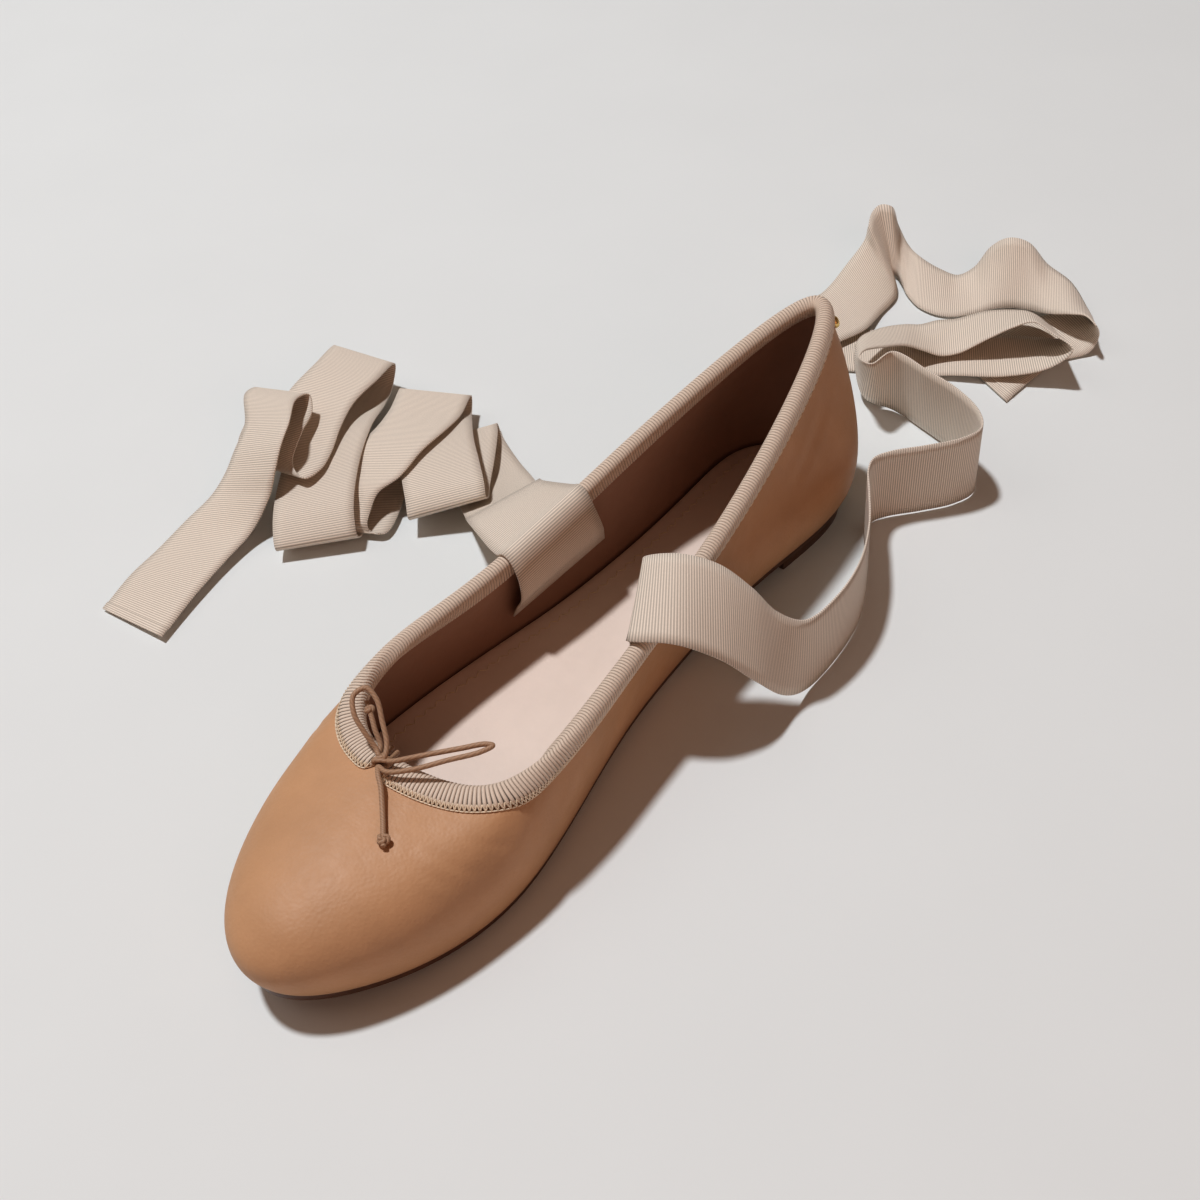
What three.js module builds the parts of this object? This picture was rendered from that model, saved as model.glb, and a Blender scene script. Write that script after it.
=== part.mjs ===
// A lace-up ballet flat, the wearer's right shoe, standing empty on its sole.
// Millimetres: +X to the toe, +Y to the inner (arch) side, +Z up, origin on the floor under the middle.

import * as THREE from 'three';

// Sizes of the last
const OUTLINE_LENGTH = 245;
const LAST_AXIS = new THREE.Vector2(2.55, 3.42);
const THROAT_X = 64.7;
const HEEL_TOP_X = -117.8;
const RIM_LAG = THREE.MathUtils.degToRad(18);
const LASTING_TUCK = 3;
const SLOPE_REACH = 25;
const WALL = 1.6;
const FIT_GAP = 0.3;

// Sizes of the bottom
const SOLE_THICKNESS = 2.7;
const SOLE_INSET = 2.2;
const TOE_SPRING = 7.9;
const SPRING_START = 55;
const HEEL_RISE = 4;
const ARCH_FRONT = -10;
const ARCH_BACK = -70;
const HEEL_BREAST = -74;
const HEEL_INSET = 3;
const INSOLE_THICKNESS = 1.8;
const INSOLE_INSET = 5.2;

// Sizes of the collar binding
const TAPE = 0.9;
const BINDING_THROAT = 6.5;
const BINDING_SIDE = 4.5;
const BINDING_INSIDE = 4;

// The stud at the back of the collar
const STUD_RADIUS = 1.4;
const STUD_HEIGHT = 1.1;
const STUD_DEPTH = 6.4;
const STUD_RAY = THREE.MathUtils.degToRad(171);

// The ribbon ties: two ribbons sewn inside the collar
const TIE_WIDTH = 25;
const TIE = 0.8;
const SEWN_DEPTH = 16;
const RUNG_STEPS = 3;

// The drawstring bow
const CORD = 1.3;
const KNOT_RADIUS = 1.5;
const END_KNOT_RADIUS = 1.1;
const KNOT_TUBE = 0.42;
const KNOT_STEPS = 40;
const KNOT_SIDES = 6;
const CORD_SIDES = 8;
const POINT_STEPS = 4;

const TURN = 2 * Math.PI;
const RING_STEPS = 72;
const WALL_STEPS = 9;
const SOLE_ROWS = 48;
const HEEL_ROWS = 14;

// The last, one row for each ray: 0 at the toe, 90 at the arch side, 180 at the heel, 270 at the outer side.
// out: half breadth of the plan outline, rim and rimZ: place and height of the topline, lead and drop: where
// the wall heads as it leaves the topline, low and swell: height and reach of its fullest part above the sole.
const SECTIONS = [
  { ray: 0, out: 0, rim: -3, rimZ: 34, lead: 36.5, drop: 1.5, low: 19, swell: 5 },
  { ray: 30, out: 21, rim: 18, rimZ: 32.5, lead: 25, drop: 1.5, low: 18, swell: 4 },
  { ray: 60, out: 32.5, rim: 26, rimZ: 34, lead: 7, drop: 4, low: 15, swell: 2 },
  { ray: 90, out: 21.5, rim: 24, rimZ: 35.5, lead: -2, drop: 10, low: 14, swell: 1.5 },
  { ray: 120, out: 21.5, rim: 19.5, rimZ: 44.5, lead: -2, drop: 12, low: 14, swell: 3 },
  { ray: 150, out: 23, rim: 11, rimZ: 58, lead: 3.5, drop: 14, low: 16, swell: 6 },
  { ray: 180, out: 0, rim: 0, rimZ: 63, lead: 9.5, drop: 15.5, low: 18, swell: 7 },
  { ray: 210, out: -24, rim: -11.5, rimZ: 56, lead: 6, drop: 13.5, low: 16, swell: 6 },
  { ray: 240, out: -25.5, rim: -22, rimZ: 43, lead: 0.5, drop: 12, low: 14, swell: 3 },
  { ray: 270, out: -34.5, rim: -27.5, rimZ: 34.5, lead: -0.5, drop: 10, low: 14, swell: 1 },
  { ray: 300, out: -39.5, rim: -29.5, rimZ: 34.5, lead: 7.5, drop: 5, low: 14.5, swell: 1.5 },
  { ray: 330, out: -23.5, rim: -21, rimZ: 33, lead: 24.5, drop: 2.5, low: 17.5, swell: 4 },
];

// The ties as they lie, one row for each rung from the collar to the cut end: the middle of the ribbon, the
// heading of its width from the left to the right edge, and how far the right edge tips up.
const OUTER_TIE = [
  { x: -21.5, y: -39.5, z: 32.2, axis: 153, tilt: 15 },
  { x: -30.5, y: -51, z: 21.8, axis: 154, tilt: 12 },
  { x: -39, y: -60.5, z: 10.6, axis: 155, tilt: 7 },
  { x: -46, y: -70, z: 5, axis: 155, tilt: 5 },
  { x: -52, y: -80, z: 1.8, axis: 153, tilt: 2 },
  { x: -57.5, y: -90, z: 1, axis: 152, tilt: 0 },
  { x: -61, y: -96, z: 1, axis: 151, tilt: 0 },
  { x: -63.5, y: -100, z: 2.7, axis: 150, tilt: 0 },
  { x: -59, y: -96, z: 4.4, axis: 148, tilt: 0 },
  { x: -47, y: -87, z: 5.4, axis: 144, tilt: 4 },
  { x: -36, y: -79.5, z: 5.6, axis: 139, tilt: 8 },
  { x: -30.5, y: -75, z: 6.8, axis: 137, tilt: 10 },
  { x: -28, y: -73.5, z: 9.6, axis: 136, tilt: 10 },
  { x: -30.5, y: -76, z: 12.4, axis: 135, tilt: 9 },
  { x: -37, y: -83.5, z: 13.2, axis: 132, tilt: 7 },
  { x: -47, y: -95, z: 12, axis: 128, tilt: 5 },
  { x: -58, y: -106, z: 8.6, axis: 123, tilt: 3 },
  { x: -65.5, y: -113, z: 5.4, axis: 118, tilt: 1 },
  { x: -71, y: -117.5, z: 7.5, axis: 115, tilt: 0 },
  { x: -58.5, y: -110.5, z: 10, axis: 112, tilt: 4 },
  { x: -47.5, y: -106.5, z: 12, axis: 110, tilt: 9 },
  { x: -36, y: -105, z: 12.5, axis: 108, tilt: 11 },
  { x: -23.5, y: -103.5, z: 10.5, axis: 108, tilt: 13 },
  { x: -16, y: -106.5, z: 8.5, axis: 110, tilt: 9 },
  { x: -10.5, y: -105.5, z: 6.5, axis: 112, tilt: 5 },
  { x: -6, y: -103.5, z: 5, axis: 114, tilt: 2 },
  { x: -5.5, y: -102.5, z: 3.3, axis: 116, tilt: 0 },
  { x: -7.5, y: -98.5, z: 2.5, axis: 118, tilt: 0 },
  { x: -26, y: -107, z: 2.6, axis: 124, tilt: 0 },
  { x: -37.5, y: -118, z: 2.6, axis: 130, tilt: 0 },
  { x: -43, y: -126, z: 1.8, axis: 134, tilt: 0 },
  { x: -37.5, y: -123, z: 1, axis: 136, tilt: 0 },
  { x: -19.5, y: -113.5, z: 1.1, axis: 138, tilt: 0 },
  { x: -1, y: -102.5, z: 1.4, axis: 138, tilt: 0 },
  { x: 3.5, y: -99.5, z: 5.4, axis: 137, tilt: 2 },
  { x: -1.5, y: -104.5, z: 9.8, axis: 136, tilt: 4 },
  { x: -17, y: -117, z: 11.2, axis: 132, tilt: 5 },
  { x: -35.5, y: -129.5, z: 9.6, axis: 124, tilt: 6 },
  { x: -53, y: -140, z: 6, axis: 112, tilt: 2 },
  { x: -65, y: -147, z: 5.4, axis: 103, tilt: 0 },
  { x: -71, y: -150, z: 9.5, axis: 99, tilt: 0 },
  { x: -56.5, y: -144.5, z: 13, axis: 101, tilt: 2 },
  { x: -42.5, y: -141.5, z: 13, axis: 106, tilt: 4 },
  { x: -30.5, y: -136, z: 12.5, axis: 109, tilt: 6 },
  { x: -20.5, y: -130, z: 12, axis: 106, tilt: 6 },
  { x: -13, y: -126.5, z: 12.5, axis: 101, tilt: 6 },
  { x: -8, y: -127, z: 13, axis: 95, tilt: 7 },
  { x: -10, y: -133, z: 14.5, axis: 92, tilt: 7 },
  { x: -21.5, y: -140.5, z: 15.5, axis: 93, tilt: 10 },
  { x: -30.5, y: -145, z: 15.5, axis: 94, tilt: 12 },
  { x: -34, y: -149, z: 17.5, axis: 95, tilt: 14 },
  { x: -28, y: -147.5, z: 20, axis: 95, tilt: 16 },
  { x: -16, y: -136.5, z: 21, axis: 91, tilt: 24 },
  { x: -8, y: -133, z: 18.5, axis: 96, tilt: 26 },
  { x: -2, y: -131.5, z: 14, axis: 97, tilt: 23 },
  { x: 4, y: -131.5, z: 8.5, axis: 102, tilt: 17 },
  { x: 14, y: -132, z: 3.5, axis: 106, tilt: 7 },
  { x: 27, y: -130.5, z: 2, axis: 108, tilt: 6 },
  { x: 41.5, y: -127.5, z: 2, axis: 100, tilt: 4 },
  { x: 57, y: -123, z: 1.5, axis: 94, tilt: 3 },
];

const INNER_TIE = [
  { x: -4.5, y: 19, z: 41, axis: 27, tilt: -14 },
  { x: -8.5, y: 28.5, z: 43.4, axis: 34, tilt: -22 },
  { x: -15, y: 37.5, z: 38.5, axis: 36, tilt: -34 },
  { x: -20.5, y: 45, z: 29.5, axis: 40, tilt: -50 },
  { x: -26.5, y: 50, z: 19.8, axis: 50, tilt: -68 },
  { x: -35, y: 53, z: 14, axis: 75, tilt: -84 },
  { x: -49, y: 54, z: 13.4, axis: 95, tilt: -88 },
  { x: -64, y: 52, z: 13.4, axis: 106, tilt: -88 },
  { x: -79, y: 46, z: 13.4, axis: 118, tilt: -88 },
  { x: -91, y: 38.8, z: 13.4, axis: 124, tilt: -88 },
  { x: -99.5, y: 33.5, z: 13.4, axis: 122, tilt: -88 },
  { x: -104.5, y: 32.5, z: 13.4, axis: 90, tilt: -88 },
  { x: -109.5, y: 35, z: 13.4, axis: 55, tilt: -88 },
  { x: -118, y: 42.5, z: 13.4, axis: 48, tilt: -88 },
  { x: -127, y: 49.5, z: 13.4, axis: 52, tilt: -88 },
  { x: -135, y: 52, z: 13.4, axis: 90, tilt: -88 },
  { x: -142, y: 47.5, z: 13.4, axis: 136, tilt: -88 },
  { x: -148.5, y: 37, z: 13.4, axis: 152, tilt: -86 },
  { x: -152.5, y: 24, z: 13.4, axis: 165, tilt: -84 },
  { x: -155.5, y: 10, z: 13.4, axis: 166, tilt: -82 },
  { x: -149.5, y: 4, z: 14.5, axis: 212, tilt: -62 },
  { x: -153.5, y: -2.5, z: 16, axis: 211, tilt: -45 },
  { x: -161.5, y: -6.5, z: 17, axis: 214, tilt: -28 },
  { x: -174.5, y: -6, z: 13, axis: 213, tilt: -21 },
  { x: -187.5, y: -3, z: 8, axis: 210, tilt: -18 },
  { x: -193.5, y: 0.5, z: 5, axis: 210, tilt: -14 },
  { x: -198, y: 5, z: 4, axis: 210, tilt: -6 },
  { x: -202, y: 10, z: 4.5, axis: 210, tilt: -7 },
  { x: -207.5, y: 17.5, z: 8.5, axis: 208, tilt: -12 },
  { x: -212, y: 25, z: 11.5, axis: 205, tilt: -20 },
  { x: -214.5, y: 31, z: 13, axis: 205, tilt: -26 },
  { x: -214, y: 38, z: 11.5, axis: 204, tilt: -27 },
  { x: -211.5, y: 46, z: 9.6, axis: 212, tilt: -26 },
  { x: -209, y: 40.5, z: 5.6, axis: 212, tilt: -12 },
  { x: -202, y: 28, z: 3.4, axis: 211, tilt: -2 },
  { x: -194.5, y: 13, z: 2.6, axis: 209, tilt: 0 },
  { x: -188, y: 0, z: 1.2, axis: 209, tilt: 0 },
  { x: -179.5, y: -17, z: 1, axis: 213, tilt: 0 },
  { x: -173, y: -29, z: 1, axis: 220, tilt: 0 },
  { x: -169.5, y: -36, z: 1.8, axis: 228, tilt: 0 },
  { x: -171.5, y: -38.5, z: 3.6, axis: 238, tilt: 3 },
  { x: -181.5, y: -34.5, z: 5, axis: 248, tilt: 6 },
  { x: -192.5, y: -31.5, z: 4, axis: 250, tilt: 4 },
  { x: -208.5, y: -32, z: 5, axis: 244, tilt: 17 },
  { x: -218.5, y: -31.5, z: 8, axis: 246, tilt: 33 },
  { x: -221.5, y: -32.5, z: 11, axis: 257, tilt: 49 },
  { x: -227, y: -35.5, z: 12, axis: 250, tilt: 53 },
  { x: -230, y: -36, z: 12.5, axis: 239, tilt: 57 },
  { x: -231, y: -33.5, z: 12, axis: 229, tilt: 59 },
  { x: -232.5, y: -31, z: 6.5, axis: 216, tilt: 25 },
  { x: -229, y: -25.5, z: 4, axis: 211, tilt: 15 },
  { x: -225, y: -17.5, z: 3.5, axis: 209, tilt: 12 },
  { x: -225, y: -9.5, z: 2.5, axis: 207, tilt: 7 },
  { x: -228, y: -4, z: 1.5, axis: 207, tilt: 3 },
  { x: -233, y: -0, z: 2.5, axis: 208, tilt: 8 },
  { x: -237, y: 5, z: 7.5, axis: 214, tilt: 28 },
  { x: -239, y: 11, z: 10.5, axis: 218, tilt: 43 },
  { x: -240.5, y: 17.5, z: 10.5, axis: 215, tilt: 36 },
  { x: -239.5, y: 25.5, z: 9, axis: 210, tilt: 11 },
  { x: -237, y: 35.5, z: 10, axis: 204, tilt: -7 },
  { x: -235, y: 42.5, z: 8.5, axis: 200, tilt: -25 },
  { x: -232, y: 47.5, z: 7, axis: 201, tilt: -30 },
  { x: -234.5, y: 44, z: 4, axis: 222, tilt: -13 },
  { x: -228.5, y: 40, z: 2, axis: 244, tilt: 0 },
  { x: -214, y: 31.5, z: 1, axis: 260, tilt: 0 },
  { x: -200, y: 29, z: 1, axis: 256, tilt: 0 },
  { x: -188.5, y: 28.5, z: 1, axis: 243, tilt: 0 },
];

// Where the ties are sewn inside the collar: the rays of each ribbon's left and right edges, in degrees, and
// how far those edges stand off the leather, so that the ribbon lies straight along the curved wall.
const OUTER_SEAT = { left: 267, right: 249, ease: 0.9 };
const INNER_SEAT = { left: 105.5, right: 91, ease: 1.7 };

// The bow's cords as they lie, point by point.
const OUTER_LOOP = [
  { x: 68.2, y: -4, z: 37.8 },
  { x: 67.6, y: -7.6, z: 40.8 },
  { x: 66.4, y: -11.3, z: 43.8 },
  { x: 63.4, y: -13.8, z: 46 },
  { x: 60.3, y: -12.6, z: 46.6 },
  { x: 60.6, y: -9.2, z: 45 },
  { x: 63.4, y: -5.4, z: 42 },
  { x: 66.4, y: -1.8, z: 39.2 },
];
const INNER_LOOP = [
  { x: 68.9, y: 2.2, z: 38 },
  { x: 64.8, y: 8, z: 40 },
  { x: 58.9, y: 14.7, z: 41.3 },
  { x: 54.2, y: 19.2, z: 42 },
  { x: 54.6, y: 21.6, z: 41.8 },
  { x: 57.8, y: 20.8, z: 41.2 },
  { x: 63.8, y: 15.5, z: 40 },
  { x: 68.9, y: 9.8, z: 38.6 },
  { x: 71.7, y: 2.5, z: 37.1 },
];
const OUTER_TAIL = [
  { x: 66.6, y: -4.2, z: 36.9 },
  { x: 64.8, y: -7.2, z: 39.2 },
  { x: 63.2, y: -9.4, z: 40.6 },
];
const INNER_TAIL = [
  { x: 73.2, y: 1.2, z: 36.7 },
  { x: 75.2, y: 3.8, z: 36 },
  { x: 78, y: 6.6, z: 34.9 },
  { x: 81, y: 9.5, z: 34.1 },
  { x: 83, y: 11.4, z: 33.8 },
];
const KNOT_AT = new THREE.Vector3(69.9, -0.8, 36.8);
const OUTER_END_AT = new THREE.Vector3(62.1, -11.1, 41.6);
const INNER_END_AT = new THREE.Vector3(84.8, 13.1, 33.5);

const LEATHER = new THREE.MeshStandardMaterial({ color: 0xb98963, roughness: 0.5, metalness: 0 });
const SOLE_LEATHER = new THREE.MeshStandardMaterial({ color: 0x3b2216, roughness: 0.6, metalness: 0 });
const SOCK_LEATHER = new THREE.MeshStandardMaterial({ color: 0xd9bfae, roughness: 0.5, metalness: 0 });
const TAPE_WEAVE = new THREE.MeshStandardMaterial({ color: 0xc4ab97, roughness: 0.85, metalness: 0 });
const RIBBON = new THREE.MeshStandardMaterial({ color: 0xcbb6a4, roughness: 0.85, metalness: 0 });
const CORD_WEAVE = new THREE.MeshStandardMaterial({ color: 0x9a7a62, roughness: 0.8, metalness: 0 });
const GILT = new THREE.MeshStandardMaterial({ color: 0xd8b25c, roughness: 0.25, metalness: 1 });

// A smooth closed curve through one column of the section table: a cubic spline on even steps, whose
// weights come from the rows on both sides, each counting less the further away it is.
const SPLINE_POLE = Math.sqrt(3) - 2;
const SPLINE_REACH = 10;

function ringColumn(name) {
  const rows = SECTIONS.length;
  const weights = SECTIONS.map((row, index) => {
    let sum = 0;
    for (let step = -SPLINE_REACH; step <= SPLINE_REACH; step += 1) {
      const other = SECTIONS[(index + step + SPLINE_REACH * rows) % rows];
      sum += SPLINE_POLE ** Math.abs(step) * other[name];
    }
    return Math.sqrt(3) * sum;
  });
  return (angle) => {
    const place = THREE.MathUtils.euclideanModulo(angle / TURN, 1) * rows;
    const index = Math.floor(place);
    const t = place - index;
    const blend = [(1 - t) ** 3, 3 * t ** 3 - 6 * t ** 2 + 4, -3 * t ** 3 + 3 * t ** 2 + 3 * t + 1, t ** 3];
    return blend.reduce((sum, part, k) => sum + part * weights[(index - 1 + k + rows) % rows], 0) / 6;
  };
}

const column = Object.fromEntries(
  ['out', 'rim', 'rimZ', 'lead', 'drop', 'low', 'swell'].map((name) => [name, ringColumn(name)]),
);

// Height of the sole's upper face: flat at the ball, up to the toe spring, and over the arch to the heel.
function seatHeight(x) {
  const spring = THREE.MathUtils.clamp((x - SPRING_START) / (OUTLINE_LENGTH / 2 - SPRING_START), 0, 1);
  const rise = THREE.MathUtils.smoothstep(-x, -ARCH_FRONT, -ARCH_BACK);
  return SOLE_THICKNESS + TOE_SPRING * spring ** 2 + HEEL_RISE * rise;
}

// A point of the plan outline, and the direction that points out of it.
function outline(angle) {
  return new THREE.Vector2(OUTLINE_LENGTH / 2 * Math.cos(angle), column.out(angle));
}

function outwards(angle) {
  const step = 1e-3;
  const along = outline(angle + step).sub(outline(angle - step));
  return new THREE.Vector2(along.y, -along.x).normalize();
}

// The outline moved in by some distance, in the shoe's own frame.
function insetOutline(angle, inset) {
  return outline(angle).addScaledVector(outwards(angle), -inset).add(LAST_AXIS);
}

// One upright curve of the wall, from the sole's edge to the topline.
function wallCurve(angle) {
  const edge = outline(angle);
  const out = outwards(angle);
  const rimAngle = angle - RIM_LAG * Math.sin(angle);
  const rimMiddle = (THROAT_X + HEEL_TOP_X) / 2;
  const rimReach = (THROAT_X - HEEL_TOP_X) / 2;
  const rim = new THREE.Vector2(rimMiddle + rimReach * Math.cos(rimAngle), column.rim(angle));
  const slope = edge.clone().sub(rim);
  const share = THREE.MathUtils.clamp(slope.length() / SLOPE_REACH, 0, 1);
  const heading = slope.normalize().multiplyScalar(share).addScaledVector(out, 1 - share).normalize();
  const foot = edge.clone().addScaledVector(out, -LASTING_TUCK);
  const belly = edge.clone().addScaledVector(out, column.swell(angle));
  const brow = rim.clone().addScaledVector(heading, column.lead(angle));
  const base = seatHeight(edge.x) + FIT_GAP;
  const top = column.rimZ(angle);
  const lift = (flat, z) => new THREE.Vector3(flat.x + LAST_AXIS.x, flat.y + LAST_AXIS.y, z);
  return new THREE.CubicBezierCurve3(
    lift(foot, base),
    lift(belly, base + column.low(angle)),
    lift(brow, top - column.drop(angle)),
    lift(rim, top),
  );
}

// A point on the wall, v from 0 at the sole to 1 at the topline, moved out along the wall's normal.
function wallPoint(angle, v, offset = 0) {
  const point = wallCurve(angle).getPoint(v);
  if (offset === 0) return point;
  const step = 1e-3;
  const around = wallCurve(angle + step).getPoint(v).sub(wallCurve(angle - step).getPoint(v));
  const up = wallCurve(angle).getTangent(v);
  return point.addScaledVector(around.cross(up).normalize(), offset);
}

// How far up the wall a point lies that is some way below the topline, measured along the leather.
function heightBelowRim(angle, depth) {
  const curve = wallCurve(angle);
  return curve.getUtoTmapping(1 - depth / curve.getLength());
}

// A solid between two grids of points that lie face to face, closed all round their edges.
// With loop set, the last row of each grid joins its first.
function shell(front, back, loop = false) {
  const rows = front.length;
  const across = front[0].length;
  const points = [...front.flat(), ...back.flat()];
  const frontAt = (i, j) => (i % rows) * across + j;
  const backAt = (i, j) => rows * across + frontAt(i, j);
  const faces = [];
  const quad = (a, b, c, d) => faces.push(a, b, c, a, c, d);
  const bands = loop ? rows : rows - 1;
  for (let i = 0; i < bands; i += 1) {
    for (let j = 0; j < across - 1; j += 1) {
      quad(frontAt(i, j), frontAt(i + 1, j), frontAt(i + 1, j + 1), frontAt(i, j + 1));
      quad(backAt(i, j), backAt(i, j + 1), backAt(i + 1, j + 1), backAt(i + 1, j));
    }
    quad(frontAt(i, 0), backAt(i, 0), backAt(i + 1, 0), frontAt(i + 1, 0));
    quad(frontAt(i, across - 1), frontAt(i + 1, across - 1), backAt(i + 1, across - 1), backAt(i, across - 1));
  }
  if (!loop) {
    for (let j = 0; j < across - 1; j += 1) {
      const last = rows - 1;
      quad(frontAt(0, j), frontAt(0, j + 1), backAt(0, j + 1), backAt(0, j));
      quad(frontAt(last, j), backAt(last, j), backAt(last, j + 1), frontAt(last, j + 1));
    }
  }
  const geometry = new THREE.BufferGeometry().setFromPoints(points);
  geometry.setIndex(faces);
  geometry.computeVertexNormals();
  return geometry;
}

function piece(name, geometry, material) {
  const mesh = new THREE.Mesh(geometry, material);
  mesh.name = name;
  return mesh;
}

function steps(count, from, to) {
  return Array.from({ length: count + 1 }, (_, index) => from + (to - from) * index / count);
}

// A plate that follows the sole's outline between two rays, from its lower to its upper height over each point.
function plate(inset, lower, upper, fromRay, toRay, count) {
  const rows = steps(count, fromRay, toRay).map((angle) => [
    insetOutline(-angle, inset),
    insetOutline(angle, inset),
  ]);
  const raise = (height) => rows.map((row) => row.map((at) => {
    return new THREE.Vector3(at.x, at.y, height(at.x - LAST_AXIS.x));
  }));
  return shell(raise(lower), raise(upper));
}

const RAYS = steps(RING_STEPS, 0, TURN).slice(0, RING_STEPS);
const TIP = THREE.MathUtils.degToRad(2);

function outsole() {
  const lower = (x) => seatHeight(x) - SOLE_THICKNESS;
  return piece('outsole', plate(SOLE_INSET, lower, seatHeight, TIP, Math.PI - TIP, SOLE_ROWS), SOLE_LEATHER);
}

function heel() {
  const upper = (x) => seatHeight(x) - SOLE_THICKNESS - FIT_GAP;
  const breast = Math.acos(HEEL_BREAST / (OUTLINE_LENGTH / 2));
  return piece('heel', plate(HEEL_INSET, () => 0, upper, breast, Math.PI - TIP, HEEL_ROWS), SOLE_LEATHER);
}

function insole() {
  const lower = (x) => seatHeight(x) + FIT_GAP;
  const upper = (x) => lower(x) + INSOLE_THICKNESS;
  return piece('insole', plate(INSOLE_INSET, lower, upper, TIP, Math.PI - TIP, SOLE_ROWS), SOCK_LEATHER);
}

// The upper: an outer skin, and an inner one a wall's thickness inside it. The lower edge is cut level.
function upper() {
  const heights = steps(WALL_STEPS, 0, 1);
  const outer = RAYS.map((angle) => heights.map((v) => wallPoint(angle, v)));
  const inner = RAYS.map((angle) => heights.map((v) => {
    if (v > 0) return wallPoint(angle, v, -WALL);
    const out = outwards(angle);
    return wallPoint(angle, 0).add(new THREE.Vector3(-WALL * out.x, -WALL * out.y, 0));
  }));
  return piece('upper', shell(outer, inner, true), LEATHER);
}

// The binding: a ribbed tape folded over the topline, wider at the throat, open where the bow is tied.
function bindingDepth(angle) {
  const front = THREE.MathUtils.smoothstep(Math.cos(angle), 0.2, 0.9);
  return THREE.MathUtils.lerp(BINDING_SIDE, BINDING_THROAT, front);
}

// A section of the tape some way off the wall: up its outside, over the topline and down its inside.
function bindingSection(angle, gap) {
  const depth = bindingDepth(angle);
  const down = wallCurve(angle).getTangent(1).negate();
  const outside = [1, 0.5, 0].map((share) => wallPoint(angle, heightBelowRim(angle, share * depth), gap));
  const inside = [0, 1].map((share) => {
    return wallPoint(angle, heightBelowRim(angle, share * BINDING_INSIDE), -WALL - gap);
  });
  const crest = [0.75, 0.25].map((share) => {
    return wallPoint(angle, 1, THREE.MathUtils.lerp(-WALL - gap, gap, share)).addScaledVector(down, -gap);
  });
  return [...outside, ...crest, ...inside];
}

function collarBinding() {
  const outer = RAYS.map((angle) => bindingSection(angle, FIT_GAP + TAPE));
  const inner = RAYS.map((angle) => bindingSection(angle, FIT_GAP));
  return piece('collar_binding', shell(outer, inner), TAPE_WEAVE);
}

// A plain dome beside the back seam, its flat side to the leather.
function heelStud() {
  const profile = [
    new THREE.Vector2(0, 0),
    new THREE.Vector2(STUD_RADIUS, 0),
    new THREE.Vector2(STUD_RADIUS * 0.92, STUD_HEIGHT * 0.45),
    new THREE.Vector2(STUD_RADIUS * 0.6, STUD_HEIGHT * 0.85),
    new THREE.Vector2(0, STUD_HEIGHT),
  ];
  const stud = piece('heel_stud', new THREE.LatheGeometry(profile, 16), GILT);
  const v = heightBelowRim(STUD_RAY, STUD_DEPTH);
  const seat = wallPoint(STUD_RAY, v, FIT_GAP);
  const out = wallPoint(STUD_RAY, v, FIT_GAP + 1).sub(seat);
  stud.position.copy(seat);
  stud.quaternion.setFromUnitVectors(new THREE.Vector3(0, 1, 0), out.normalize());
  return stud;
}

// A rung of a free ribbon: its two edges at one row of the table.
function freeRung(row) {
  const axis = THREE.MathUtils.degToRad(row.axis);
  const tilt = THREE.MathUtils.degToRad(row.tilt);
  const half = new THREE.Vector3(
    Math.cos(axis) * Math.cos(tilt),
    Math.sin(axis) * Math.cos(tilt),
    Math.sin(tilt),
  ).multiplyScalar(TIE_WIDTH / 2);
  const middle = new THREE.Vector3(row.x, row.y, row.z);
  return [middle.clone().sub(half), middle.clone().add(half)];
}

// The rungs inside the collar: sewn to the wall, up past the binding and, where it lies on it, over the top.
function sewnRungs(seat, overTop) {
  const rays = [seat.left, seat.right].map(THREE.MathUtils.degToRad);
  const onWall = -WALL - seat.ease - TIE / 2;
  const pastTape = onWall - TAPE;
  const inside = (depth, offset) => rays.map((angle) => wallPoint(angle, heightBelowRim(angle, depth), offset));
  const rungs = [
    inside(SEWN_DEPTH, onWall),
    inside(SEWN_DEPTH / 2, onWall),
    inside(BINDING_INSIDE / 2, pastTape),
  ];
  if (!overTop) return rungs;
  const clear = FIT_GAP + TAPE + seat.ease + TIE / 2;
  const over = (offset, rise) => rays.map((angle) => {
    return wallPoint(angle, 1, offset).addScaledVector(wallCurve(angle).getTangent(1), rise * clear);
  });
  return [...rungs, over(-WALL - 0.7 * clear, 0.5), over(-WALL / 2, 1), over(0.7 * clear, 0.5)];
}

// A flat ribbon through a row of rungs, smooth from rung to rung.
function ribbon(name, rungs) {
  const edges = [0, 1].map((side) => new THREE.CatmullRomCurve3(rungs.map((rung) => rung[side])));
  const across = (t) => edges.map((edge) => edge.getPoint(t));
  const middle = (t) => new THREE.Vector3().lerpVectors(...across(t), 0.5);
  const step = 1e-3;
  const places = steps((rungs.length - 1) * RUNG_STEPS, 0, 1);
  const face = (side) => places.map((t) => {
    const [left, right] = across(t);
    const along = middle(Math.min(t + step, 1)).sub(middle(Math.max(t - step, 0)));
    const normal = along.cross(right.clone().sub(left)).setLength(side * TIE / 2);
    return [left.add(normal), right.add(normal)];
  });
  return piece(name, shell(face(1), face(-1)), RIBBON);
}

function ties() {
  const outer = [...sewnRungs(OUTER_SEAT, true), ...OUTER_TIE.map(freeRung)];
  const inner = [...sewnRungs(INNER_SEAT, false), ...INNER_TIE.map(freeRung)];
  return [ribbon('tie_outer', outer), ribbon('tie_inner', inner)];
}

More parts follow.
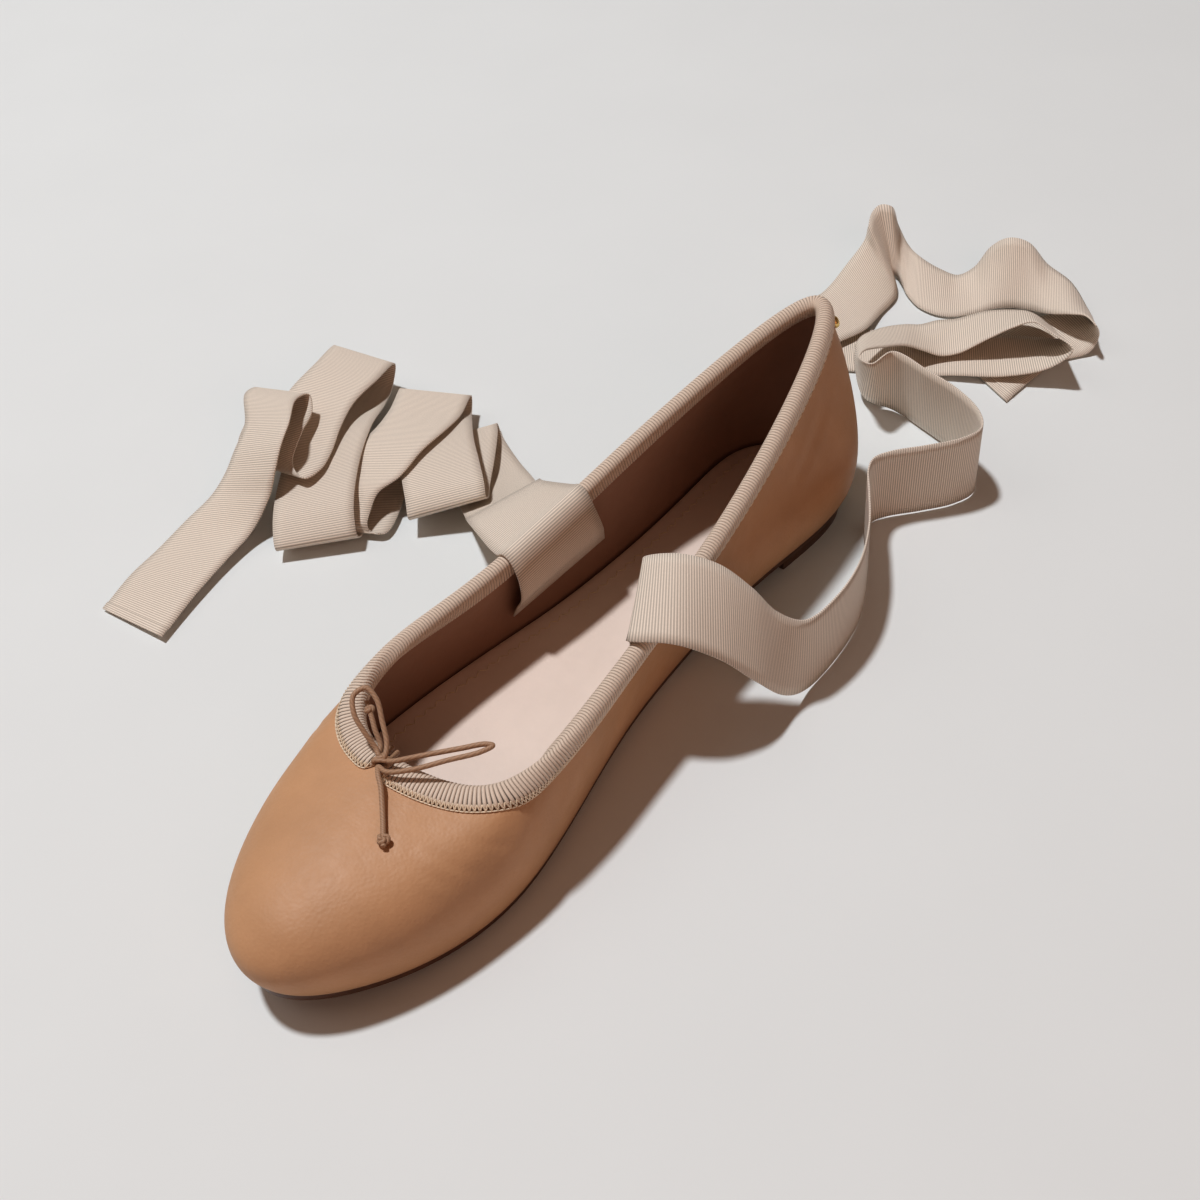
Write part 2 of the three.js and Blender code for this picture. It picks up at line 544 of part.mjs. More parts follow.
// A length of round cord along a list of points.
function cord(name, points) {
  const path = new THREE.CatmullRomCurve3(points.map((at) => new THREE.Vector3(at.x, at.y, at.z)));
  const sides = steps(CORD_SIDES, 0, TURN).slice(0, CORD_SIDES);
  const round = sides.map((angle) => {
    return new THREE.Vector2(Math.cos(angle), Math.sin(angle)).multiplyScalar(CORD / 2);
  });
  const settings = { steps: (points.length - 1) * POINT_STEPS, bevelEnabled: false, extrudePath: path };
  return piece(name, new THREE.ExtrudeGeometry(new THREE.Shape(round), settings), CORD_WEAVE);
}

// A small tight knot of the same cord, lying flat.
function knot(name, radius, at) {
  const geometry = new THREE.TorusKnotGeometry(radius, KNOT_TUBE * radius, KNOT_STEPS, KNOT_SIDES);
  geometry.translate(at.x, at.y, at.z);
  return piece(name, geometry, CORD_WEAVE);
}

function bow() {
  return [
    knot('bow_knot', KNOT_RADIUS, KNOT_AT),
    cord('bow_loop_outer', OUTER_LOOP),
    cord('bow_loop_inner', INNER_LOOP),
    cord('bow_tail_outer', OUTER_TAIL),
    cord('bow_tail_inner', INNER_TAIL),
    knot('bow_end_outer', END_KNOT_RADIUS, OUTER_END_AT),
    knot('bow_end_inner', END_KNOT_RADIUS, INNER_END_AT),
  ];
}

const shoe = new THREE.Group();
shoe.add(outsole(), heel(), insole(), upper(), collarBinding(), heelStud(), ...bow(), ...ties());

export default shoe;
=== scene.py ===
"""The looks of a lace-up ballet flat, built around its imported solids.

Sizes in the tables are millimetres in the solids' own frame: +X to the toe, +Y to the inner side, +Z up.
Every mesh is written in metres.
"""

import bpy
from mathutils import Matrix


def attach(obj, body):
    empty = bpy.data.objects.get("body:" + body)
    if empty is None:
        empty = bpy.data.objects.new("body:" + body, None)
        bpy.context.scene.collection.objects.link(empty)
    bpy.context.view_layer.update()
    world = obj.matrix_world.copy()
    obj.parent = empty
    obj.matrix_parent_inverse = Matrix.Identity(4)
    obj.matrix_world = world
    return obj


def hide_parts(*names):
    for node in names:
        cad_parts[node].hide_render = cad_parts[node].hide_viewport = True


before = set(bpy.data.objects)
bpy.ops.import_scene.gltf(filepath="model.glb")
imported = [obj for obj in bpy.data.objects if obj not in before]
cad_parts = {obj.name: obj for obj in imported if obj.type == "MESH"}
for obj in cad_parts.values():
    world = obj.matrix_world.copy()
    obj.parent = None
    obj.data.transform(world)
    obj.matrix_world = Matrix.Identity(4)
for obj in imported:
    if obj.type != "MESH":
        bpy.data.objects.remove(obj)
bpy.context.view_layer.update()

import math

import bmesh
import bpy
import numpy as np
from mathutils import Matrix, Vector
from mathutils.bvhtree import BVHTree

bl_info = {
    "name": "Lace-up Ballet Flat",
    "version": (1, 0, 0),
    "blender": (4, 5, 0),
    "location": "3D View > Sidebar > Ballet Flat",
    "description": "Builds the leather, binding, ribbons and bow of a ballet flat around its solids",
    "category": "Object",
}

MM = 0.001
TURN = 2 * math.pi
UV_NAME = "Weave"
WHITE = (1, 1, 1)

# Sizes of the last, of the bottom and of the places of the trim, as in the solids
OUTLINE_LENGTH = 245
LAST_AXIS = np.array([2.55, 3.42])
THROAT_X = 64.7
HEEL_TOP_X = -117.8
RIM_LAG = math.radians(18)
LASTING_TUCK = 3
SLOPE_REACH = 25
WALL = 1.6
FIT_GAP = 0.3
SOLE_THICKNESS = 2.7
SOLE_INSET = 2.2
TOE_SPRING = 7.9
SPRING_START = 55
HEEL_RISE = 4
ARCH_FRONT = -10
ARCH_BACK = -70
HEEL_BREAST = -74
HEEL_INSET = 3
INSOLE_THICKNESS = 1.8
INSOLE_INSET = 5.2
BINDING_INSIDE = 4
STUD_DEPTH = 6.4
STUD_RAY = math.radians(171)

# The last, one row for each ray of 30 degrees from the toe round by the inner side.
SECTION_NAMES = ("out", "rim", "rim_z", "lead", "drop", "low", "swell")
SECTIONS = (
    (0, -3, 34, 36.5, 1.5, 19, 5),
    (21, 18, 32.5, 25, 1.5, 18, 4),
    (32.5, 26, 34, 7, 4, 15, 2),
    (21.5, 24, 35.5, -2, 10, 14, 1.5),
    (21.5, 19.5, 44.5, -2, 12, 14, 3),
    (23, 11, 58, 3.5, 14, 16, 6),
    (0, 0, 63, 9.5, 15.5, 18, 7),
    (-24, -11.5, 56, 6, 13.5, 16, 6),
    (-25.5, -22, 43, 0.5, 12, 14, 3),
    (-34.5, -27.5, 34.5, -0.5, 10, 14, 1),
    (-39.5, -29.5, 34.5, 7.5, 5, 14.5, 1.5),
    (-23.5, -21, 33, 24.5, 2.5, 17.5, 4),
)

# The ties as they lie, one row for each rung from the collar to the cut end: the middle of the ribbon, the
# heading of its width from the left to the right edge, and how far the right edge tips up.
OUTER_TIE = (
    (-21.5, -39.5, 32.2, 153, 15),
    (-30.5, -51, 21.8, 154, 12),
    (-39, -60.5, 10.6, 155, 7),
    (-46, -70, 5, 155, 5),
    (-52, -80, 1.8, 153, 2),
    (-57.5, -90, 1, 152, 0),
    (-61, -96, 1, 151, 0),
    (-63.5, -100, 2.7, 150, 0),
    (-59, -96, 4.4, 148, 0),
    (-47, -87, 5.4, 144, 4),
    (-36, -79.5, 5.6, 139, 8),
    (-30.5, -75, 6.8, 137, 10),
    (-28, -73.5, 9.6, 136, 10),
    (-30.5, -76, 12.4, 135, 9),
    (-37, -83.5, 13.2, 132, 7),
    (-47, -95, 12, 128, 5),
    (-58, -106, 8.6, 123, 3),
    (-65.5, -113, 5.4, 118, 1),
    (-71, -117.5, 7.5, 115, 0),
    (-58.5, -110.5, 10, 112, 4),
    (-47.5, -106.5, 12, 110, 9),
    (-36, -105, 12.5, 108, 11),
    (-23.5, -103.5, 10.5, 108, 13),
    (-16, -106.5, 8.5, 110, 9),
    (-10.5, -105.5, 6.5, 112, 5),
    (-6, -103.5, 5, 114, 2),
    (-5.5, -102.5, 3.3, 116, 0),
    (-7.5, -98.5, 2.5, 118, 0),
    (-26, -107, 2.6, 124, 0),
    (-37.5, -118, 2.6, 130, 0),
    (-43, -126, 1.8, 134, 0),
    (-37.5, -123, 1, 136, 0),
    (-19.5, -113.5, 1.1, 138, 0),
    (-1, -102.5, 1.4, 138, 0),
    (3.5, -99.5, 5.4, 137, 2),
    (-1.5, -104.5, 9.8, 136, 4),
    (-17, -117, 11.2, 132, 5),
    (-35.5, -129.5, 9.6, 124, 6),
    (-53, -140, 6, 112, 2),
    (-65, -147, 5.4, 103, 0),
    (-71, -150, 9.5, 99, 0),
    (-56.5, -144.5, 13, 101, 2),
    (-42.5, -141.5, 13, 106, 4),
    (-30.5, -136, 12.5, 109, 6),
    (-20.5, -130, 12, 106, 6),
    (-13, -126.5, 12.5, 101, 6),
    (-8, -127, 13, 95, 7),
    (-10, -133, 14.5, 92, 7),
    (-21.5, -140.5, 15.5, 93, 10),
    (-30.5, -145, 15.5, 94, 12),
    (-34, -149, 17.5, 95, 14),
    (-28, -147.5, 20, 95, 16),
    (-16, -136.5, 21, 91, 24),
    (-8, -133, 18.5, 96, 26),
    (-2, -131.5, 14, 97, 23),
    (4, -131.5, 8.5, 102, 17),
    (14, -132, 3.5, 106, 7),
    (27, -130.5, 2, 108, 6),
    (41.5, -127.5, 2, 100, 4),
    (57, -123, 1.5, 94, 3),
)
INNER_TIE = (
    (-4.5, 19, 41, 27, -14),
    (-8.5, 28.5, 43.4, 34, -22),
    (-15, 37.5, 38.5, 36, -34),
    (-20.5, 45, 29.5, 40, -50),
    (-26.5, 50, 19.8, 50, -68),
    (-35, 53, 14, 75, -84),
    (-49, 54, 13.4, 95, -88),
    (-64, 52, 13.4, 106, -88),
    (-79, 46, 13.4, 118, -88),
    (-91, 38.8, 13.4, 124, -88),
    (-99.5, 33.5, 13.4, 122, -88),
    (-104.5, 32.5, 13.4, 90, -88),
    (-109.5, 35, 13.4, 55, -88),
    (-118, 42.5, 13.4, 48, -88),
    (-127, 49.5, 13.4, 52, -88),
    (-135, 52, 13.4, 90, -88),
    (-142, 47.5, 13.4, 136, -88),
    (-148.5, 37, 13.4, 152, -86),
    (-152.5, 24, 13.4, 165, -84),
    (-155.5, 10, 13.4, 166, -82),
    (-149.5, 4, 14.5, 212, -62),
    (-153.5, -2.5, 16, 211, -45),
    (-161.5, -6.5, 17, 214, -28),
    (-174.5, -6, 13, 213, -21),
    (-187.5, -3, 8, 210, -18),
    (-193.5, 0.5, 5, 210, -14),
    (-198, 5, 4, 210, -6),
    (-202, 10, 4.5, 210, -7),
    (-207.5, 17.5, 8.5, 208, -12),
    (-212, 25, 11.5, 205, -20),
    (-214.5, 31, 13, 205, -26),
    (-214, 38, 11.5, 204, -27),
    (-211.5, 46, 9.6, 212, -26),
    (-209, 40.5, 5.6, 212, -12),
    (-202, 28, 3.4, 211, -2),
    (-194.5, 13, 2.6, 209, 0),
    (-188, 0, 1.2, 209, 0),
    (-179.5, -17, 1, 213, 0),
    (-173, -29, 1, 220, 0),
    (-169.5, -36, 1.8, 228, 0),
    (-171.5, -38.5, 3.6, 238, 3),
    (-181.5, -34.5, 5, 248, 6),
    (-192.5, -31.5, 4, 250, 4),
    (-208.5, -32, 5, 244, 17),
    (-218.5, -31.5, 8, 246, 33),
    (-221.5, -32.5, 11, 257, 49),
    (-227, -35.5, 12, 250, 53),
    (-230, -36, 12.5, 239, 57),
    (-231, -33.5, 12, 229, 59),
    (-232.5, -31, 6.5, 216, 25),
    (-229, -25.5, 4, 211, 15),
    (-225, -17.5, 3.5, 209, 12),
    (-225, -9.5, 2.5, 207, 7),
    (-228, -4, 1.5, 207, 3),
    (-233, -0, 2.5, 208, 8),
    (-237, 5, 7.5, 214, 28),
    (-239, 11, 10.5, 218, 43),
    (-240.5, 17.5, 10.5, 215, 36),
    (-239.5, 25.5, 9, 210, 11),
    (-237, 35.5, 10, 204, -7),
    (-235, 42.5, 8.5, 200, -25),
    (-232, 47.5, 7, 201, -30),
    (-234.5, 44, 4, 222, -13),
    (-228.5, 40, 2, 244, 0),
    (-214, 31.5, 1, 260, 0),
    (-200, 29, 1, 256, 0),
    (-188.5, 28.5, 1, 243, 0),
)

# Where the ties are sewn inside the collar: the rays of their left and right edges, the rungs inside as how
# far below the topline and how far off the lining, and how high the tie goes over the top.
OUTER_SEAT = {"rays": (267, 249), "inside": ((25, 1.3), (18, 3.6), (10, 5.4), (3, 4.2)), "over": 2.5}
INNER_SEAT = {"rays": (105.5, 91), "inside": ((16, 2.1), (8, 2.1), (2, 3)), "over": 0}

# The bow's two cords as they lie: out of the binding, under the knot, round the loop, through the knot and on
# to the end.
OUTER_CORD = (
    (64.6, -2.6, 35.4),
    (67.2, -1.9, 36.4),
    (69, -2.2, 36.9),
    (68.2, -4, 37.8),
    (67.6, -7.6, 40.8),
    (66.4, -11.3, 43.8),
    (63.4, -13.8, 46),
    (60.3, -12.6, 46.6),
    (60.6, -9.2, 45),
    (63.4, -5.4, 42),
    (66.4, -1.8, 39.2),
    (69.2, -0.4, 37.6),
    (69.6, -2.4, 36.2),
    (66.6, -4.2, 36.9),
    (64.8, -7.2, 39.2),
    (63.2, -9.4, 40.6),
    (62.1, -11.1, 41.6),
    (61.1, -12.7, 42.4),
)
INNER_CORD = (
    (65, -0.4, 35.6),
    (67.4, 0.2, 36.6),
    (69.2, 0.8, 37.4),
    (68.9, 2.2, 38),
    (64.8, 8, 40),
    (58.9, 14.7, 41.3),
    (54.6, 19.4, 42),
    (53.9, 21, 41.9),
    (56.6, 19.6, 41.3),
    (62.6, 13.9, 40.1),
    (68.3, 8.2, 38.6),
    (71.7, 2.5, 37.1),
    (71.3, -0.6, 36.4),
    (73.2, 1.2, 36.7),
    (75.2, 3.8, 36),
    (78, 6.6, 34.9),
    (81, 9.5, 34.1),
    (83, 11.4, 33.8),
    (84.8, 13.1, 33.5),
    (86.2, 14.4, 33.2),
)
KNOT_AT = (69.9, -0.8, 36.8)
OUTER_END_AT = (62.1, -11.1, 41.6)
INNER_END_AT = (84.8, 13.1, 33.5)

# The camera: its place, the directions of its frame and the part of the picture that it takes in.
CAMERA_AT = (192.55, 182.32, 294.47)
CAMERA_RIGHT = (-0.5806, 0.8140, -0.0170)
CAMERA_UP = (-0.6310, -0.4370, 0.6410)
PHOTO_LENS = 33.49
PHOTO_SIZE = 1200
FRAME_CENTRE = (527, 497)
FRAME_ZOOM = 1.25
SENSOR_WIDTH = 36
NEAR_CLIP = 0.01

# The lamps, in metres: place, breadth and colour. Their powers are the stage's settings of the same names.
LIGHT_AIM = (-0.03, -0.03, 0.01)
LAMPS = {
    "key": ((0.09, -0.79, 2.48), 0.23, (0.95, 0.97, 1.0)),
    "fill": ((0.7, -1.3, 1.5), 1.6, (1.0, 0.97, 0.93)),
    "glow": ((0.6, 1.2, 0.7), 1.2, (1.0, 0.54, 0.4)),
}
ROOM_COLOUR = (1, 0.68, 0.5, 1)
FLOOR_HALF = 3

# Small step of a ray, for headings along the last, and steps of a measured line round it
RAY_STEP = 1e-3
LINE_STEPS = 3000


def linear(code):
    """Turns an sRGB hex code into the linear colour that a socket takes."""
    parts = [int(code[i : i + 2], 16) / 255 for i in (1, 3, 5)]
    return tuple(c / 12.92 if c <= 0.04045 else ((c + 0.055) / 1.055) ** 2.4 for c in parts)


def smoothstep(value, low, high):
    share = np.clip((np.asarray(value, float) - low) / (high - low), 0, 1)
    return share * share * (3 - 2 * share)


def unit(vectors):
    return vectors / np.linalg.norm(vectors, axis=-1, keepdims=True)


# The last's surface, the same as the solids'

FILTER_REACH = 10


def ring_column(name):
    """A smooth closed curve through one column of the section table: a cubic spline with its own filter."""
    values = np.array([row[SECTION_NAMES.index(name)] for row in SECTIONS], float)
    pole = math.sqrt(3) - 2
    near = range(-FILTER_REACH, FILTER_REACH + 1)
    weights = math.sqrt(3) * sum(pole ** abs(k) * np.roll(values, -k) for k in near)

    def at(angle):
        place = np.mod(np.asarray(angle, float) / TURN, 1) * len(values)
        index = np.floor(place).astype(int)
        t = place - index
        blend = ((1 - t) ** 3, 3 * t**3 - 6 * t**2 + 4, -3 * t**3 + 3 * t**2 + 3 * t + 1, t**3)
        return sum(part * weights[(index - 1 + k) % len(values)] for k, part in enumerate(blend)) / 6

    return at


COLUMN = {name: ring_column(name) for name in SECTION_NAMES}


def seat_height(x):
    """Height of the sole's upper face, with its toe spring and its rise over the arch."""
    spring = np.clip((x - SPRING_START) / (OUTLINE_LENGTH / 2 - SPRING_START), 0, 1)
    return SOLE_THICKNESS + TOE_SPRING * spring**2 + HEEL_RISE * smoothstep(-x, -ARCH_FRONT, -ARCH_BACK)


def outline(angle):
    return np.stack([OUTLINE_LENGTH / 2 * np.cos(angle), COLUMN["out"](angle)], -1)


def outwards(angle):
    along = outline(angle + RAY_STEP) - outline(angle - RAY_STEP)
    return unit(np.stack([along[..., 1], -along[..., 0]], -1))


def inset_outline(angle, inset):
    return outline(angle) - outwards(angle) * inset + LAST_AXIS


def wall_frame(angle):
    """The four control points of the wall's upright curve at each ray."""
    angle = np.asarray(angle, float)
    edge, out = outline(angle), outwards(angle)
    lag = angle - RIM_LAG * np.sin(angle)
    middle, reach = (THROAT_X + HEEL_TOP_X) / 2, (THROAT_X - HEEL_TOP_X) / 2
    rim = np.stack([middle + reach * np.cos(lag), COLUMN["rim"](angle)], -1)
    slope = edge - rim
    length = np.linalg.norm(slope, axis=-1, keepdims=True)
    share = np.clip(length / SLOPE_REACH, 0, 1)
    heading = unit(slope / length * share + out * (1 - share))
    base = seat_height(edge[..., 0]) + FIT_GAP
    top = COLUMN["rim_z"](angle)

    def lift(flat, z):
        return np.concatenate([flat + LAST_AXIS, z[..., None]], -1)

    return (
        lift(edge - out * LASTING_TUCK, base),
        lift(edge + out * COLUMN["swell"](angle)[..., None], base + COLUMN["low"](angle)),
        lift(rim + heading * COLUMN["lead"](angle)[..., None], top - COLUMN["drop"](angle)),
        lift(rim, top),
    )


def wall_curve(angle, v):
    a, b, c, d = wall_frame(angle)
    v = np.asarray(v, float)[..., None]
    return a * (1 - v) ** 3 + b * 3 * v * (1 - v) ** 2 + c * 3 * v**2 * (1 - v) + d * v**3


def wall_up(angle, v):
    a, b, c, d = wall_frame(angle)
    v = np.asarray(v, float)[..., None]
    return unit((b - a) * (1 - v) ** 2 + (c - b) * 2 * v * (1 - v) + (d - c) * v**2)


def wall_normal(angle, v):
    around = wall_curve(angle + RAY_STEP, v) - wall_curve(angle - RAY_STEP, v)
    return unit(np.cross(around, wall_up(angle, v)))


def wall_point(angle, v, offset=0.0):
    """A point on the wall, v from 0 at the sole to 1 at the topline, moved out along the wall's normal."""
    return wall_curve(angle, v) + wall_normal(angle, v) * np.asarray(offset, float)[..., None]


def height_below_rim(angle, depth):
    """How far up the wall a point lies that is some way below the topline, measured along the leather."""
    angle, depth = np.broadcast_arrays(np.asarray(angle, float), np.asarray(depth, float))
    count = 48
    heights = np.linspace(1, 0, count + 1)
    points = wall_curve(angle[..., None], np.broadcast_to(heights, angle.shape + (count + 1,)))
    pieces = np.linalg.norm(np.diff(points, axis=-2), axis=-1)
    run = np.concatenate([np.zeros(angle.shape + (1,)), np.cumsum(pieces, -1)], -1)
    index = np.clip((run < depth[..., None]).sum(-1), 1, count)
    low = np.take_along_axis(run, index[..., None] - 1, -1)[..., 0]
    high = np.take_along_axis(run, index[..., None], -1)[..., 0]
    share = np.clip((depth - low) / (high - low), 0, 1)
    return 1 - (index - 1 + share) / count


def catmull(points, places):
    """Points along a smooth curve through a row of points, places from 0 to 1."""
    points = np.asarray(points, float)
    knots = np.array([2 * points[0] - points[1], *points, 2 * points[-1] - points[-2]])
    gaps = np.linalg.norm(np.diff(knots, axis=0), axis=1) ** 0.5
    place = np.clip(places, 0, 1) * (len(points) - 1)
    i = np.minimum(place.astype(int), len(points) - 2)
    t = (place - i)[:, None]
    p0, p1, p2, p3 = (knots[i + k] for k in range(4))
    d0, d1, d2 = (gaps[i + k][:, None] for k in range(3))
    t1 = ((p1 - p0) / d0 - (p2 - p0) / (d0 + d1) + (p2 - p1) / d1) * d1
    t2 = ((p2 - p1) / d1 - (p3 - p1) / (d1 + d2) + (p3 - p2) / d2) * d1
    return p1 + t1 * t + (3 * (p2 - p1) - 2 * t1 - t2) * t**2 + (2 * (p1 - p2) + t1 + t2) * t**3


def run_along(line):
    return np.concatenate([[0], np.cumsum(np.linalg.norm(np.diff(line, axis=0), axis=1))])


# Mesh helpers


def grid(columns, rows, place, span=(1, 1), merge=False):
    """A sheet of quads whose points stand where place(u, v) says, in millimetres, as its map's span is."""
    bm = bmesh.new()
    uv = bm.loops.layers.uv.new(UV_NAME)
    bmesh.ops.create_grid(bm, x_segments=columns, y_segments=rows, size=0.5, calc_uvs=True)
    flat = np.array([vert.co[:2] for vert in bm.verts])
    share = (flat - flat.min(0)) / np.ptp(flat, axis=0)
    for vert, point in zip(bm.verts, place(share[:, 0], share[:, 1]) * MM):
        vert.co = point
    for face in bm.faces:
        for loop in face.loops:
            loop[uv].uv = (loop[uv].uv[0] * span[0], loop[uv].uv[1] * span[1])
    if merge:
        bmesh.ops.remove_doubles(bm, verts=bm.verts, dist=1e-7)
    return bm


def plate(inset, lower, upper, rays, rows, across):
    """A plate that follows the sole's outline between two rays, between two heights over each point."""

    def place(u, v):
        angle = rays[0] + (rays[1] - rays[0]) * u
        near, far = inset_outline(-angle, inset), inset_outline(angle, inset)
        flat = near + (far - near) * v[:, None]
        return np.column_stack([flat, upper(flat[:, 0] - LAST_AXIS[0], v)])

    bm = grid(rows, across, place)
    bm.normal_update()
    sides = bmesh.ops.extrude_face_region(bm, geom=list(bm.faces))
    for vert in (item for item in sides["geom"] if isinstance(item, bmesh.types.BMVert)):
        vert.co.z = float(lower(vert.co.x / MM - LAST_AXIS[0])) * MM
    bmesh.ops.recalc_face_normals(bm, faces=bm.faces)
    return bm


def tube(line, radius, columns, sides, relief, closed=False):
    """A round cord along a line of points, with relief(run, turn) as a share of its radius."""
    run = run_along(line)
    heading = unit(np.gradient(line, axis=0))
    side = np.empty_like(heading)
    start = np.array([0.0, 0.0, 1.0])
    for k, along in enumerate(heading):
        start = start - along * start.dot(along)
        start = start / np.linalg.norm(start)
        side[k] = start
    other = np.cross(heading, side)

    def place(u, v):
        index = np.rint(u * (len(line) - 1)).astype(int)
        turn = v * TURN
        wide = radius * (1 + relief(run[index], turn))
        out = side[index] * np.cos(turn)[:, None] + other[index] * np.sin(turn)[:, None]
        return line[index] + out * wide[:, None]

    bm = grid(columns, sides, place, span=(run[-1], TURN * radius), merge=True)
    if not closed:
        rims = [edge for edge in bm.edges if edge.is_boundary]
        bmesh.ops.holes_fill(bm, edges=rims, sides=0)
    bmesh.ops.recalc_face_normals(bm, faces=bm.faces)
    return bm


def stitches(runs, radius):
    """One short round stitch for each pair of ends, lying on what it sews."""
    bm = bmesh.new()
    for start, end in runs:
        along = Vector(end) - Vector(start)
        turn = along.to_track_quat("Z", "Y").to_matrix().to_4x4()
        middle = Matrix.Translation((Vector(start) + Vector(end)) / 2 * MM)
        size = Matrix.Diagonal((radius * MM, radius * MM, (along.length / 2 + radius / 2) * MM, 1))
        bmesh.ops.create_uvsphere(bm, u_segments=6, v_segments=5, radius=1, matrix=middle @ turn @ size)
    return bm


def new_object(name, bm, material):
    mesh = bpy.data.meshes.new(name)
    bm.to_mesh(mesh)
    bm.free()
    mesh.materials.append(material)
    made = bpy.data.objects.new(name, mesh)
    bpy.context.scene.collection.objects.link(made)
    return made


def finish_piece(name, bm, material, replaced=(), sharp=80):
    """Makes the object of a finished mesh, smooth up to an angle in degrees, and ties it to the shoe."""
    piece = new_object(name, bm, material)
    piece.data.shade_smooth()
    piece.data.set_sharp_from_angle(angle=math.radians(sharp))
    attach(piece, "root")
    if replaced:
        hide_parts(*replaced)
    return piece


def thicken(piece, thickness, offset=-1.0):
    wall = piece.modifiers.new("Thickness", "SOLIDIFY")
    wall.thickness = thickness * MM
    wall.offset = offset


# Materials


# A band texture repeats every 0.314 of its own units: this over the spacing of the bands is its scale.
BAND_REPEAT = TURN / 20


def add(tree, kind, output, values=(), links=(), settings=(), stops=()):
    """Adds a node with its settings, socket values, links and, on a ramp, two stops, and gives one output."""
    made = tree.nodes.new(kind)
    for name, value in dict(settings).items():
        setattr(made, name, value)
    for socket, value in dict(values).items():
        made.inputs[socket].default_value = value
    for socket, source in dict(links).items():
        tree.links.new(source, made.inputs[socket])
    for k, (at, colour) in enumerate(stops):
        made.color_ramp.elements[k].position = at
        made.color_ramp.elements[k].color = (*colour, 1)
    return made.outputs[output]


def blank(name, **sockets):
    """A new material with its shader's sockets set."""
    material = bpy.data.materials.new(name)
    material.use_nodes = True
    shader = material.node_tree.nodes["Principled BSDF"]
    for socket, value in sockets.items():
        shader.inputs[socket.replace("_", " ")].default_value = value
    return material, material.node_tree, shader


def connect(tree, shader, **sources):
    """Links what the nodes give to the shader's sockets."""
    for socket, source in sources.items():
        tree.links.new(source, shader.inputs[socket.replace("_", " ")])


def tones(colour, low, high, dark, light=1):
    """The two stops of a ramp between a darker and a lighter tone of a colour."""
    return tuple(
        (at, tuple(min(c * factor, 1) for c in colour)) for at, factor in ((low, dark), (high, light))
    )


def nappa_leather(name, colour, rough, mottle=0.88, grain=0.12):
    """Dyed nappa, tumbled soft: a satin skin with a fine pebble of about a millimetre and a cloudy dye."""
    material, tree, shader = blank(name, IOR=1.45)
    where = {"Vector": add(tree, "ShaderNodeTexCoord", "Object")}
    patches = {"Scale": 1 / (18 * MM), "Detail": 4, "Roughness": 0.6}
    cloud = add(tree, "ShaderNodeTexNoise", "Fac", patches, where)
    dye = add(tree, "ShaderNodeValToRGB", "Color", (), {"Fac": cloud}, stops=tones(colour, 0.3, 0.7, mottle))
    # The real pebble is about 0.5 mm; it is drawn at 0.9 mm so that it shows.
    grains = {"Scale": 1 / (0.9 * MM), "Smoothness": 0.6}
    pebble = add(tree, "ShaderNodeTexVoronoi", "Distance", grains, where, {"feature": "SMOOTH_F1"})
    folds = {"Scale": 1 / (5 * MM), "Detail": 5, "Roughness": 0.62}
    hide = add(tree, "ShaderNodeTexNoise", "Fac", folds, where)
    shine = {"From Min": 0.3, "From Max": 0.7, "To Min": rough - 0.05, "To Max": rough + 0.07}
    gloss = add(tree, "ShaderNodeMapRange", "Result", shine, {"Value": hide})
    soft = add(
        tree, "ShaderNodeBump", "Normal", {"Strength": 0.35, "Distance": 0.35 * MM}, {"Height": hide}
    )
    fine = add(
        tree,
        "ShaderNodeBump",
        "Normal",
        {"Strength": 0.5, "Distance": grain * MM},
        {"Height": pebble, "Normal": soft},
    )
    connect(tree, shader, Base_Color=dye, Roughness=gloss, Normal=fine)
    return material


def sole_leather(name, colour):
    """Vegetable-tanned sole leather with a burnished dark edge: dense, waxed, with small scuffs."""
    material, tree, shader = blank(name, IOR=1.5, Coat_Weight=0.2, Coat_Roughness=0.3)
    where = {"Vector": add(tree, "ShaderNodeTexCoord", "Object")}
    marks = {"Scale": 1 / (4 * MM), "Detail": 6, "Roughness": 0.7}
    scuff = {"Fac": add(tree, "ShaderNodeTexNoise", "Fac", marks, where)}
    dye = add(tree, "ShaderNodeValToRGB", "Color", (), scuff, stops=tones(colour, 0.35, 0.75, 0.8, 1.35))
    gloss = add(tree, "ShaderNodeValToRGB", "Color", (), scuff, stops=tones(WHITE, 0.3, 0.8, 0.4, 0.62))
    bump = add(
        tree, "ShaderNodeBump", "Normal", {"Strength": 0.4, "Distance": 0.12 * MM}, {"Height": scuff["Fac"]}
    )
    connect(tree, shader, Base_Color=dye, Roughness=gloss, Normal=bump)
    return material


